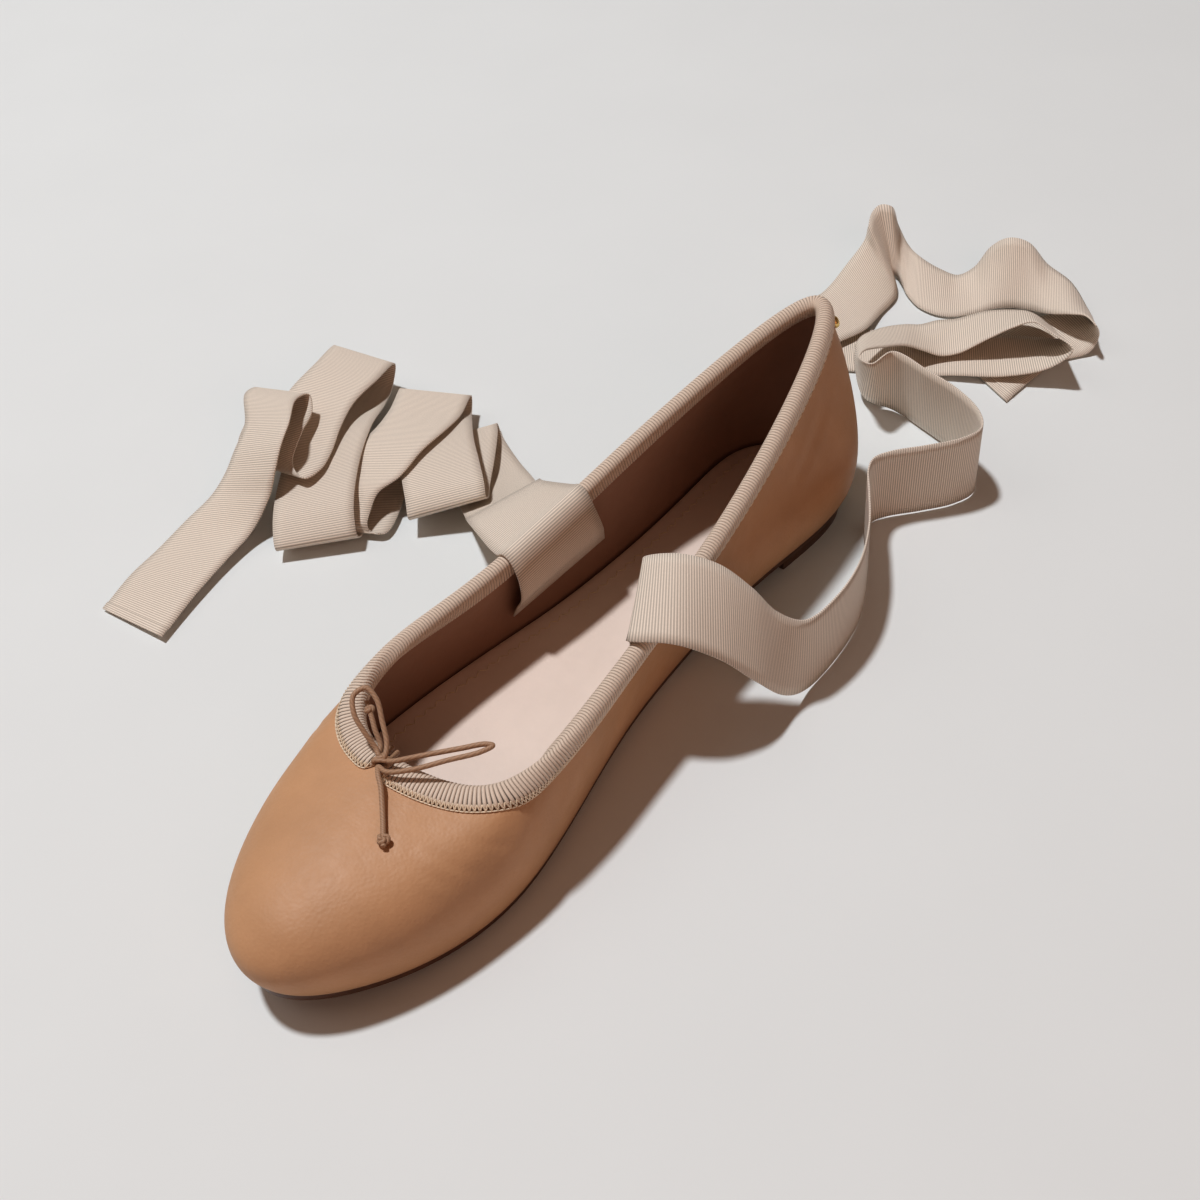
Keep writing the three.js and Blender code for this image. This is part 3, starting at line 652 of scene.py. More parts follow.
def grosgrain(name, colour, pitch, relief, gap):
    """Woven ribbed ribbon: matt filling cords under a fine warp, with painted shade in the gaps between them.
    """
    material, tree, shader = blank(name, IOR=1.45, Roughness=0.75, Sheen_Weight=0.1, Sheen_Roughness=0.5)
    # The map is in millimetres along and across the tape.
    where = {"Vector": add(tree, "ShaderNodeUVMap", "UV", settings={"uv_map": UV_NAME})}
    ribs = add(
        tree,
        "ShaderNodeTexWave",
        "Fac",
        {"Scale": BAND_REPEAT / pitch, "Distortion": 0.0},
        where,
        {"wave_type": "BANDS", "bands_direction": "X", "wave_profile": "SIN"},
    )
    yarn = add(
        tree, "ShaderNodeTexNoise", "Fac", {"Scale": 1 / 0.6, "Detail": 3, "Roughness": 0.7}, where
    )
    # Painted shade: the colour is darker in the grooves between the ribs, down to the gap factor.
    weave_and_groove_shade = add(tree, "ShaderNodeValToRGB", "Color", (), {"Fac": ribs}, stops=tones(colour, 0.18, 0.75, gap))
    speck = add(tree, "ShaderNodeValToRGB", "Color", (), {"Fac": yarn}, stops=tones(WHITE, 0.25, 0.75, 0.9))
    cloth = add(
        tree,
        "ShaderNodeMix",
        "Result",
        {"Factor": 1.0},
        {"A": weave_and_groove_shade, "B": speck},
        {"data_type": "RGBA", "blend_type": "MULTIPLY"},
    )
    bump = add(
        tree, "ShaderNodeBump", "Normal", {"Strength": 0.8, "Distance": relief * MM}, {"Height": ribs}
    )
    fuzz = add(
        tree,
        "ShaderNodeBump",
        "Normal",
        {"Strength": 0.5, "Distance": 0.06 * MM},
        {"Height": yarn, "Normal": bump},
    )
    connect(tree, shader, Base_Color=cloth, Normal=fuzz)
    return material


def braided_cord(name, colour):
    """Fine smooth rayon cord: a soft sheen along its crown, close strands that hardly show, painted shade
    between them.
    """
    material, tree, shader = blank(name, IOR=1.46, Roughness=0.55, Sheen_Weight=0.2, Sheen_Roughness=0.4)
    where = {"Vector": add(tree, "ShaderNodeUVMap", "UV", settings={"uv_map": UV_NAME})}
    # The strands cross about every 0.5 mm.
    strands = add(
        tree,
        "ShaderNodeTexWave",
        "Fac",
        {"Scale": BAND_REPEAT / 0.5, "Distortion": 1.2, "Detail": 1, "Detail Scale": 2},
        where,
        {"wave_type": "BANDS", "bands_direction": "DIAGONAL"},
    )
    # Painted shade: the cord is a little darker in the grooves between its strands.
    dye = add(tree, "ShaderNodeValToRGB", "Color", (), {"Fac": strands}, stops=tones(colour, 0.05, 0.7, 0.78))
    bump = add(
        tree, "ShaderNodeBump", "Normal", {"Strength": 0.5, "Distance": 0.06 * MM}, {"Height": strands}
    )
    connect(tree, shader, Base_Color=dye, Normal=bump)
    return material


def sewing_thread(name, colour):
    """Twisted polyester thread with a slight shine, finer and coarser from stitch to stitch."""
    material, tree, shader = blank(name, IOR=1.5, Roughness=0.45, Sheen_Weight=0.2)
    where = {"Vector": add(tree, "ShaderNodeTexCoord", "Object")}
    twist = add(tree, "ShaderNodeTexNoise", "Fac", {"Scale": 1 / (0.7 * MM), "Detail": 2}, where)
    dye = add(tree, "ShaderNodeValToRGB", "Color", (), {"Fac": twist}, stops=tones(colour, 0.3, 0.7, 0.7))
    connect(tree, shader, Base_Color=dye)
    return material


def gilt_brass(name, colour):
    """Polished gold-plated brass with faint handling marks."""
    material, tree, shader = blank(name, Metallic=1.0)
    where = {"Vector": add(tree, "ShaderNodeTexCoord", "Object")}
    marks = {"Fac": add(tree, "ShaderNodeTexNoise", "Fac", {"Scale": 1 / (0.8 * MM), "Detail": 3}, where)}
    tone = add(tree, "ShaderNodeValToRGB", "Color", (), marks, stops=tones(colour, 0.3, 0.7, 0.85))
    gloss = add(tree, "ShaderNodeValToRGB", "Color", (), marks, stops=tones(WHITE, 0.3, 0.8, 0.18, 0.34))
    connect(tree, shader, Base_Color=tone, Roughness=gloss)
    return material


def seamless_paper(name, colour):
    """Matt white backdrop paper with a barely uneven tooth."""
    material, tree, shader = blank(name, Roughness=0.85)
    where = {"Vector": add(tree, "ShaderNodeTexCoord", "Object")}
    tooth = add(tree, "ShaderNodeTexNoise", "Fac", {"Scale": 1 / (60 * MM), "Detail": 3}, where)
    tone = add(tree, "ShaderNodeValToRGB", "Color", (), {"Fac": tooth}, stops=tones(colour, 0.3, 0.7, 0.985))
    connect(tree, shader, Base_Color=tone)
    return material


# What a user would change


class BalletFlatMaterials(bpy.types.PropertyGroup):
    """Colours of the shoe."""

    leather: bpy.props.FloatVectorProperty(
        name="Leather",
        description="Colour of the upper's leather in full light",
        default=linear("#C49873"),
        subtype="COLOR",
    )
    lining: bpy.props.FloatVectorProperty(
        name="Lining", description="Colour of the lining leather", default=linear("#A07C68"), subtype="COLOR"
    )
    sock: bpy.props.FloatVectorProperty(
        name="Insole", description="Colour of the insole's sock", default=linear("#ECDBCF"), subtype="COLOR"
    )
    sole: bpy.props.FloatVectorProperty(
        name="Sole", description="Colour of the sole and heel", default=linear("#53331F"), subtype="COLOR"
    )
    tape: bpy.props.FloatVectorProperty(
        name="Binding", description="Colour of the binding tape", default=linear("#DFCDBC"), subtype="COLOR"
    )
    ribbon: bpy.props.FloatVectorProperty(
        name="Ribbon", description="Colour of the ties", default=linear("#F0E3D4"), subtype="COLOR"
    )
    cord: bpy.props.FloatVectorProperty(
        name="Cord", description="Colour of the bow's cord", default=linear("#AA886D"), subtype="COLOR"
    )
    thread: bpy.props.FloatVectorProperty(
        name="Thread", description="Colour of the sewing thread", default=linear("#F0DCC2"), subtype="COLOR"
    )
    gilt: bpy.props.FloatVectorProperty(
        name="Stud", description="Colour of the gilt stud", default=linear("#F0D08A"), subtype="COLOR"
    )


class BalletFlatSizes(bpy.types.PropertyGroup):
    """Sizes of the shoe's trim."""

    skin: bpy.props.FloatProperty(
        name="Leather thickness", description="Thickness of the leather", default=0.9 * MM, unit="LENGTH"
    )
    lining: bpy.props.FloatProperty(
        name="Lining thickness", description="Thickness of the lining", default=0.6 * MM, unit="LENGTH"
    )
    rib: bpy.props.FloatProperty(
        name="Rib spacing", description="Spacing of the ribs of the ties", default=0.75 * MM, unit="LENGTH"
    )
    binding_rib: bpy.props.FloatProperty(
        name="Binding rib spacing",
        description="Spacing of the ribs of the binding",
        default=0.92 * MM,
        unit="LENGTH",
    )
    tie_width: bpy.props.FloatProperty(
        name="Tie width", description="Width of the ribbon ties", default=25 * MM, unit="LENGTH"
    )
    tie_thickness: bpy.props.FloatProperty(
        name="Tie thickness", description="Thickness of the ribbon ties", default=0.5 * MM, unit="LENGTH"
    )
    cord: bpy.props.FloatProperty(
        name="Cord diameter", description="Diameter of the bow's cord", default=1.25 * MM, unit="LENGTH"
    )


class BalletFlatStage(bpy.types.PropertyGroup):
    """Floor and light."""

    floor: bpy.props.FloatVectorProperty(
        name="Floor", description="Colour of the floor", default=linear("#DFE3E3"), subtype="COLOR"
    )
    key: bpy.props.FloatProperty(
        name="Key light", description="Power of the key light", default=45.0, unit="POWER"
    )
    fill: bpy.props.FloatProperty(
        name="Fill light", description="Power of the broad fill light", default=3.5, unit="POWER"
    )
    glow: bpy.props.FloatProperty(
        name="Warm light", description="Power of the warm light on the inner side", default=2.5, unit="POWER"
    )
    air: bpy.props.FloatProperty(
        name="Room light", description="Strength of the light from all round", default=0.13, subtype="FACTOR"
    )


# Pieces


def stage_floor(settings):
    bm = bmesh.new()
    bmesh.ops.create_grid(bm, x_segments=2, y_segments=2, size=FLOOR_HALF)
    new_object("floor", bm, seamless_paper("seamless_paper", settings.floor))


def stage_lamp(name, power):
    place, breadth, colour = LAMPS[name]
    data = bpy.data.lights.new(name, "AREA")
    data.shape = "DISK"
    data.size = breadth
    data.energy = power
    data.color = colour
    lamp = bpy.data.objects.new(name, data)
    lamp.location = place
    lamp.rotation_euler = (Vector(LIGHT_AIM) - Vector(place)).to_track_quat("-Z", "Y").to_euler()
    bpy.context.scene.collection.objects.link(lamp)


def stage_camera():
    data = bpy.data.cameras.new("camera")
    data.sensor_width = SENSOR_WIDTH
    data.lens = PHOTO_LENS * FRAME_ZOOM
    data.shift_x = (FRAME_CENTRE[0] - PHOTO_SIZE / 2) / PHOTO_SIZE * FRAME_ZOOM
    data.shift_y = (PHOTO_SIZE / 2 - FRAME_CENTRE[1]) / PHOTO_SIZE * FRAME_ZOOM
    data.clip_start = NEAR_CLIP
    camera = bpy.data.objects.new("camera", data)
    right, up = Vector(CAMERA_RIGHT).normalized(), Vector(CAMERA_UP).normalized()
    back = right.cross(up)
    turn = Matrix((right, up, back)).transposed().to_4x4()
    camera.matrix_world = Matrix.Translation(Vector(CAMERA_AT) * MM) @ turn
    bpy.context.scene.collection.objects.link(camera)
    bpy.context.scene.camera = camera


class BALLETFLAT_OT_stage(bpy.types.Operator):
    """Set the floor, the lights and the camera"""

    bl_idname = "ballet_flat.stage"
    bl_label = "Stage"

    def execute(self, context):
        settings = context.scene.ballet_flat_stage
        stage_camera()
        stage_floor(settings)
        for name in LAMPS:
            stage_lamp(name, getattr(settings, name))
        world = bpy.data.worlds.new("room")
        world.use_nodes = True
        light = world.node_tree.nodes["Background"].inputs
        light["Color"].default_value = ROOM_COLOUR
        light["Strength"].default_value = settings.air
        context.scene.world = world
        context.scene.view_settings.view_transform = "Standard"
        context.scene.view_settings.look = "Medium High Contrast"
        return {"FINISHED"}


CORD_STEPS = 260
CORD_SIDES = 16
# The cord's relief as shares of its radius: its oval and its strands, which turn so far with each millimetre
BRAID_OVAL = 0.02
BRAID_STRAND = 0.03
BRAID_TWIST = 2.2
# The knots: the reach of the bow's two turns, and the radius of each end knot
WRAP_REACH = 2.0
WRAP_STEP = 0.62
WRAP_RISE = 0.95
OUTER_KNOT = 0.62
INNER_KNOT = 0.8
KNOT_STEPS = 96
KNOT_SIDES = 10
# The cord is pulled thinner in its knots.
KNOT_CORD = 0.85


def knot_line(radius, at):
    """The line of a small tight overhand knot that lies flat."""
    turn = np.linspace(0, 2 * TURN, KNOT_STEPS + 1)
    reach = radius * (2 + np.cos(1.5 * turn)) / 2
    line = np.column_stack([reach * np.cos(turn), reach * np.sin(turn), radius * np.sin(1.5 * turn) / 2])
    return line + np.array(at)


def wrap_line(at):
    """The line of the bow's knot: two turns of cord side by side, laid across the throat."""
    turn = np.linspace(0, 2 * TURN, KNOT_STEPS + 1)
    across = unit(np.array([CAMERA_RIGHT[0], CAMERA_RIGHT[1], 0]))
    beside = np.cross((0, 0, 1), across)
    flat = np.outer(WRAP_REACH * np.cos(turn), across) + np.outer(WRAP_STEP * np.cos(turn / 2), beside)
    return flat + np.outer(WRAP_RISE * np.sin(turn), (0, 0, 1)) + np.array(at)


def braid(run, turn):
    strand = np.abs(np.sin(3 * turn + run * BRAID_TWIST))
    return BRAID_OVAL * np.cos(2 * turn) + BRAID_STRAND * strand


class BALLETFLAT_OT_bow(bpy.types.Operator):
    """Tie the drawstring bow: two cords, their knot and their two end knots"""

    bl_idname = "ballet_flat.bow"
    bl_label = "Drawstring bow"

    def execute(self, context):
        sizes, colours = context.scene.ballet_flat_sizes, context.scene.ballet_flat_materials
        weave_and_groove_shade = braided_cord("braided_cord", colours.cord)
        radius = sizes.cord / MM / 2
        places = np.linspace(0, 1, CORD_STEPS + 1)
        for name, node, line in (
            ("bow_knot_tied", "bow_knot", wrap_line(KNOT_AT)),
            ("bow_end_knot_outer", "bow_end_outer", knot_line(OUTER_KNOT, OUTER_END_AT)),
            ("bow_end_knot_inner", "bow_end_inner", knot_line(INNER_KNOT, INNER_END_AT)),
        ):
            bm = tube(line, KNOT_CORD * radius, KNOT_STEPS, KNOT_SIDES, braid, closed=True)
            finish_piece(name, bm, weave_and_groove_shade, (node,))
        for side, points, knots in (
            ("outer", OUTER_CORD, ("bow_knot", "bow_end_outer")),
            ("inner", INNER_CORD, ("bow_end_inner",)),
        ):
            line = catmull(points, places)
            bm = tube(line, radius, CORD_STEPS, CORD_SIDES, braid)
            nodes = (f"bow_loop_{side}", f"bow_tail_{side}")
            piece = finish_piece(f"bow_cord_{side}", bm, weave_and_groove_shade, nodes)
        return {"FINISHED"}


def free_rung(row, width):
    """The two edges of a free ribbon at one row of its table."""
    x, y, z, axis, tilt = row
    axis, tilt = math.radians(axis), math.radians(tilt)
    half = np.array([math.cos(axis) * math.cos(tilt), math.sin(axis) * math.cos(tilt), math.sin(tilt)])
    middle = np.array([x, y, z])
    return middle - half * width / 2, middle + half * width / 2


def sewn_rungs(seat):
    """The rungs inside the collar: sewn to the wall, up past the binding and over the top."""
    rays = np.radians(np.array(seat["rays"], float))
    rungs = []
    for depth, off in seat["inside"]:
        rungs.append(wall_point(rays, height_below_rim(rays, np.full(2, depth)), np.full(2, -WALL - off)))
    if seat["over"]:
        # Three rungs make the hump over the topline, highest at its middle.
        clear, top = seat["over"], np.ones(2)
        for offset, rise in ((-WALL - 0.7 * clear, 0.5), (-WALL / 2, 1), (0.7 * clear, 0.5)):
            rungs.append(wall_point(rays, top, np.full(2, offset)) + wall_up(rays, top) * rise * clear)
    return rungs


RUNG_STEPS = 40
RIBBON_ACROSS = 8
RIB_COLUMNS = 4
RIB_HEIGHT = 0.04
# The turned hem at the cut end: its depth, how far it stands up and half the breadth of its step
HEM = 3.0
HEM_RISE = 0.3
HEM_STEP = 0.3


def ribbon_sheet(rungs, pitch, width):
    """The ribbon's middle layer with its ribs, and its length."""
    fine = np.linspace(0, 1, RUNG_STEPS * len(rungs))
    edges = [catmull([rung[side] for rung in rungs], fine) for side in (0, 1)]
    middle = (edges[0] + edges[1]) / 2
    run = run_along(middle)
    along = unit(np.gradient(middle, axis=0))
    normal = unit(np.cross(along, edges[1] - edges[0]))
    columns = int(run[-1] / pitch) * RIB_COLUMNS

    def place(u, v):
        here = u * run[-1]
        left, right, up = (
            np.column_stack([np.interp(here, run, table[:, k]) for k in range(3)])
            for table in (edges[0], edges[1], normal)
        )
        rib = RIB_HEIGHT * (np.abs(np.sin(math.pi * here / pitch)) - 0.5)
        rib = rib + HEM_RISE * smoothstep(here, run[-1] - HEM - HEM_STEP, run[-1] - HEM + HEM_STEP)
        return left + (right - left) * v[:, None] + up * rib[:, None]

    return grid(columns, RIBBON_ACROSS, place, span=(run[-1], width)), run[-1]


class BALLETFLAT_OT_ties(bpy.types.Operator):
    """Lay the two ribbon ties as they come out of the collar"""

    bl_idname = "ballet_flat.ties"
    bl_label = "Ribbon ties"

    def execute(self, context):
        sizes, colours = context.scene.ballet_flat_sizes, context.scene.ballet_flat_materials
        width, pitch = sizes.tie_width / MM, sizes.rib / MM
        # The ribbon's grooves get painted shade, down to 0.6 of its colour.
        weave_and_groove_shade = grosgrain("grosgrain_ribbon", colours.ribbon, pitch, relief=0.08, gap=0.6)
        for name, node, seat, rows in (
            ("ribbon_tie_outer", "tie_outer", OUTER_SEAT, OUTER_TIE),
            ("ribbon_tie_inner", "tie_inner", INNER_SEAT, INNER_TIE),
        ):
            rungs = sewn_rungs(seat) + [free_rung(row, width) for row in rows]
            bm, length = ribbon_sheet(rungs, pitch, width)
            piece = finish_piece(name, bm, weave_and_groove_shade, (node,))
            thicken(piece, sizes.tie_thickness / MM, 0.0)
        return {"FINISHED"}


WALL_COLUMNS = 720
WALL_ROWS = 60
# The leather goes on a little below the wall's foot, so that no light shows over the sole.
FOOT = -0.012

# Creases of the leather: ray and height on the wall at their two ends, depth and half breadth in millimetres.
CREASES = (
    ((17, 0.86), (34, 0.7), 0.14, 1.1),
    ((21, 0.8), (42, 0.5), 0.2, 1.3),
    ((29, 0.78), (48, 0.48), 0.15, 1.2),
    ((40, 0.74), (55, 0.5), 0.11, 1.2),
    ((52, 0.8), (60, 0.4), 0.13, 1.6),
    ((352, 0.4), (12, 0.3), 0.3, 3.4),
    ((318, 0.8), (306, 0.5), 0.15, 1.4),
    ((150, 0.75), (128, 0.55), 0.25, 2.2),
    ((212, 0.72), (236, 0.5), 0.25, 2.2),
)
CREASE_STEPS = 24
# The ridges beside a crease: their height as a share of its depth, and their place and sharpness in breadths
CREASE_RIDGE = 0.45
RIDGE_AT = 1.7
RIDGE_SHARPNESS = 1.6
# The back seam: the last's radius there, the depth and breadth of its groove, and the lip on each side
BACK_SEAM_RADIUS = 46
GROOVE_DEPTH = 0.3
GROOVE_BREADTH = 0.45
LIP_HEIGHT = 0.12
LIP_AT = 1.3
LIP_BREADTH = 0.8
# The slight waves of the unlasted sides
WAVE_HEIGHT = 0.2


def crease(points, start, end, depth, breadth):
    """A soft trough along a line on the wall, with a low ridge on each side, fading out at its ends."""
    rays = np.radians(np.linspace(0, (end[0] - start[0] + 180) % 360 - 180, CREASE_STEPS) + start[0])
    line = wall_curve(rays, np.linspace(start[1], end[1], CREASE_STEPS))
    apart = np.linalg.norm(points[:, None] - line[None], axis=2)
    nearest = apart.argmin(1)
    gap = apart.min(1) / breadth
    fade = np.sin(math.pi * (nearest + 0.5) / CREASE_STEPS) ** 0.7
    ridge = CREASE_RIDGE * np.exp(-((gap - RIDGE_AT) ** 2) * RIDGE_SHARPNESS)
    return depth * fade * (ridge - np.exp(-(gap**2)))


def upper_relief(angle, v):
    """Small rises and hollows of the leather over the last, in millimetres."""
    seam = np.abs((angle - math.pi) * BACK_SEAM_RADIUS)
    groove = -GROOVE_DEPTH * np.exp(-((seam / GROOVE_BREADTH) ** 2))
    lip = LIP_HEIGHT * np.exp(-(((seam - LIP_AT) / LIP_BREADTH) ** 2))
    side = smoothstep(np.sin(angle) ** 2, 0.2, 0.8) * np.sin(math.pi * v)
    waves = np.sin(13 * angle + 4 * v) + 0.6 * np.sin(23 * angle - 6 * v + 1)
    relief = groove + lip + WAVE_HEIGHT * side * waves
    points = wall_curve(angle, v)
    for row in CREASES:
        relief = relief + crease(points, *row)
    return relief


class BALLETFLAT_OT_upper(bpy.types.Operator):
    """Last the leather upper and its lining"""

    bl_idname = "ballet_flat.upper"
    bl_label = "Upper and lining"

    def execute(self, context):
        sizes, colours = context.scene.ballet_flat_sizes, context.scene.ballet_flat_materials
        skin, lining = sizes.skin / MM, sizes.lining / MM

        def outside(u, v):
            angle, v = u * TURN, FOOT + (1 - FOOT) * v
            return wall_point(angle, v, upper_relief(angle, v))

        def inside(u, v):
            return wall_point(u * TURN, FOOT + (1 - FOOT) * v, np.full(u.shape, lining - WALL))

        leather = nappa_leather("nappa_leather", colours.leather, rough=0.55)
        bm = grid(WALL_COLUMNS, WALL_ROWS, outside, merge=True)
        piece = finish_piece("upper_leather", bm, leather, ("upper",))
        thicken(piece, skin)
        calf = nappa_leather("lining_leather", colours.lining, rough=0.55, mottle=0.92, grain=0.03)
        bm = grid(WALL_COLUMNS // 2, WALL_ROWS // 3, inside, merge=True)
        piece = finish_piece("lining", bm, calf)
        thicken(piece, lining)
        return {"FINISHED"}


BINDING_ENDS = (0.0, math.radians(355))
BINDING_ROWS = 22
TAPE_WIDTH = 14.0
TAPE_THICKNESS = 0.5
# How far the tape's roll comes down outside, at the throat and the sides, and what of it is left at the ends
ROLL_THROAT = 4.8
ROLL_SIDE = 3.4
ROUND_END = 3.0
END_ROLL = 0.45
# The flat edge under the roll: its width at the throat, and how much wider it is along the sides
FLANGE_THROAT = 0.15
FLANGE_MORE = 0.9
# Between these cosines of the rays the tape becomes oversewn, and its roll wide
OVERSEWN = (-0.35, 0.2)
WIDENED = (0.4, 0.95)
RIB_BULGE = 0.28


def binding_rays(count):
    """Rays along the topline, evenly spaced along the tape, and the tape's length."""
    rays = np.linspace(*BINDING_ENDS, LINE_STEPS)
    run = run_along(wall_curve(rays, np.ones(rays.shape)))
    return np.interp(np.linspace(0, run[-1], count), run, rays), run[-1]


RIM_POINTS = 801
RIM_LINE = wall_curve(np.linspace(0, TURN, RIM_POINTS), np.ones(RIM_POINTS))
RIM_ROUNDS = 3
MOST_LEAN = 0.8


def square_to_rim(rays, depth):
    """The wall places some way from the topline, square to it: their rays and heights."""
    top = np.ones(rays.shape)
    along = (wall_curve(rays + RAY_STEP, top) - wall_curve(rays - RAY_STEP, top)) / (2 * RAY_STEP)
    speed = np.linalg.norm(along, axis=-1)
    lean = np.clip(-(wall_up(rays, top) * along).sum(-1) / speed, -MOST_LEAN, MOST_LEAN)
    reach = depth / np.sqrt(1 - lean**2)
    for _ in range(RIM_ROUNDS):
        spot = rays - reach * lean / speed
        places = wall_curve(spot, height_below_rim(spot, reach))
        gap = np.linalg.norm(places[:, None] - RIM_LINE[None], axis=2).min(1)
        reach = reach * depth / np.maximum(gap, 1e-6)
    spot = rays - reach * lean / speed
    return spot, height_below_rim(spot, reach)


def at_throat(rays):
    """1 where the tape is wide and oversewn, at the throat, and 0 along the sides."""
    return smoothstep(np.cos(rays), *OVERSEWN)


def roll_depth(rays, here, length):
    """How far the tape's ribbed roll comes down outside, rounded off at the tape's two ends."""
    end = np.clip(np.minimum(here, length - here) / ROUND_END, 0, 1)
    roll = ROLL_SIDE + (ROLL_THROAT - ROLL_SIDE) * smoothstep(np.cos(rays), *WIDENED)
    return roll * (END_ROLL + (1 - END_ROLL) * np.sqrt(1 - (1 - end) ** 2))


def binding_sheet(pitch):
    """The tape folded over the topline, with its ribs."""
    length = binding_rays(2)[1]
    ribs = int(length / pitch)
    columns = ribs * RIB_COLUMNS
    rays, length = binding_rays(columns + 1)
    here = np.linspace(0, length, columns + 1)
    roll = roll_depth(rays, here, length)
    flange = roll + FLANGE_THROAT + FLANGE_MORE * (1 - at_throat(rays))
    none = np.zeros(rays.shape)
    # The section of the tape, from the flange under its outer edge over the topline to its inner edge: how
    # far below the topline, how far off the leather, and how much of the ribs' height it has.
    section = [
        (flange, 0.1, 0.0),
        (flange - 0.1, 0.28, 0.15),
        (roll + 0.05, 0.32, 0.2),
        (roll * 0.94, 0.85, 0.8),
        (roll * 0.62, 1.15, 1.0),
        (roll * 0.25, 1.2, 1.0),
        (none, 1.0, 1.0),
        (none - 0.8, 0.35, 1.0),
        (none - 1.1, -0.8, 1.0),
        (none - 0.8, -1.95, 1.0),
        (none, -WALL - 1.0, 1.0),
        (none + 0.5 * BINDING_INSIDE, -WALL - 0.9, 1.0),
        (none + 0.95 * BINDING_INSIDE, -WALL - 0.7, 0.8),
        (none + BINDING_INSIDE, -WALL - 0.3, 0.4),
    ]
    points = []
    for below, off, share in section:
        spot, v = square_to_rim(rays, np.maximum(below, 0))
        above = np.maximum(-below, 0)[:, None]
        points.append(wall_point(spot, v, np.full(rays.shape, off)) + wall_up(spot, v) * above)
    points = np.array(points)
    rows = np.linspace(0, 1, BINDING_ROWS + 1)
    lines = np.array([catmull(points[:, k], rows) for k in range(columns + 1)])
    along = np.gradient(lines, axis=0)
    across = np.gradient(lines, axis=1)
    bulge = RIB_BULGE * (np.abs(np.sin(math.pi * here / length * ribs)) ** 0.8 - 0.6)
    shares = np.interp(rows * (len(section) - 1), np.arange(len(section)), [share for *_, share in section])
    lines = lines - unit(np.cross(across, along)) * (bulge[:, None] * shares)[..., None]

    def place(u, v):
        return lines[np.rint(u * columns).astype(int), np.rint(v * BINDING_ROWS).astype(int)]

    return grid(columns, BINDING_ROWS, place, span=(ribs * pitch, TAPE_WIDTH))


STITCH_RADIUS = 0.24
# The oversewing at the throat: its step and depth, how far it goes up the roll, and its two heights
ZIGZAG_STEP = 0.46
ZIGZAG_DEPTH = 1.35
ZIGZAG_TUCK = 0.1
ON_TAPE = 1.45
ON_LEATHER = 0.3
# The line along the sides: spacing, the share that shows, its place under the roll and its height
SIDE_STITCH = 2.6
SIDE_SHARE = 0.78
SIDE_BELOW = 0.6
SIDE_HEIGHT = 1.05


def binding_stitches():
    """Ends of the stitches that hold the tape: close and slanted at the throat, a line along the sides."""
    length = binding_rays(2)[1]
    rays = binding_rays(int(length / ZIGZAG_STEP) + 1)[0]
    here = np.linspace(0, length, len(rays))
    inner = np.arange(len(rays)) % 2 == 0
    roll = roll_depth(rays, here, length)
    spot, v = square_to_rim(rays, roll + np.where(inner, -ZIGZAG_TUCK, ZIGZAG_DEPTH - ZIGZAG_TUCK))
    points = wall_point(spot, v, np.where(inner, ON_TAPE, ON_LEATHER))
    front = at_throat(rays) > 0.5
    runs = [(points[k], points[k + 1]) for k in range(len(rays) - 1) if front[k]]
    runs += [(points[k], points[k + 2]) for k in range(1, len(rays) - 2, 2) if front[k]]
    rays = binding_rays(int(length / SIDE_STITCH) + 1)[0]
    here = np.linspace(0, length, len(rays))
    ends = []
    for shift in (0, SIDE_SHARE * SIDE_STITCH):
        ray = np.interp(here + shift, here, rays)
        spot, v = square_to_rim(ray, roll_depth(ray, here, length) + SIDE_BELOW)
        ends.append(wall_point(spot, v, np.full(len(rays), SIDE_HEIGHT)))
    side = at_throat(rays) < 0.5
    runs += [(ends[0][k], ends[1][k]) for k in range(len(rays) - 1) if side[k]]
    return runs


class BALLETFLAT_OT_binding(bpy.types.Operator):
    """Fold the ribbed binding over the topline and sew it down"""

    bl_idname = "ballet_flat.binding"
    bl_label = "Collar binding"

    def execute(self, context):
        sizes, colours = context.scene.ballet_flat_sizes, context.scene.ballet_flat_materials
        pitch = sizes.binding_rib / MM
        # The tape's grooves get a deep painted shade, down to 0.12 of its colour.
        weave_and_groove_shade = grosgrain("grosgrain_binding", colours.tape, pitch, relief=0.16, gap=0.12)
        bm = binding_sheet(pitch)
        piece = finish_piece("binding_tape", bm, weave_and_groove_shade, ("collar_binding",))
        thicken(piece, TAPE_THICKNESS, 1.0)
        thread = sewing_thread("sewing_thread", colours.thread)
        bm = stitches(binding_stitches(), STITCH_RADIUS)
        finish_piece("binding_stitches", bm, thread)
        return {"FINISHED"}


TIP = math.radians(1)
INSOLE_ROWS = 120
INSOLE_ACROSS = 32
# The height of the sock's crown and of the press along its edge, and their shares of half its breadth
SOCK_CROWN = 0.5
CROWN_SHARE = 0.5
PRESS_SHARE = 0.05
# The zigzag seam: its way in from the edge, the spacing and swing of its stitches, and their thickness
SOCK_SEAM = 5.0
ZIGZAG = 1.9
ZIGZAG_SWING = 0.8
SOCK_STITCH_RADIUS = 0.2
# Height in metres from which the stitches are dropped onto the sock
DROP_FROM = 0.2


def sock_top(x, v):
    """The insole's upper face: a soft crown that is pressed down along its edge."""
    edge = np.minimum(v, 1 - v) * 2
    crown = SOCK_CROWN * (smoothstep(edge, 0, CROWN_SHARE) + smoothstep(edge, 0, PRESS_SHARE) - 1)
    return seat_height(x) + FIT_GAP + INSOLE_THICKNESS + crown


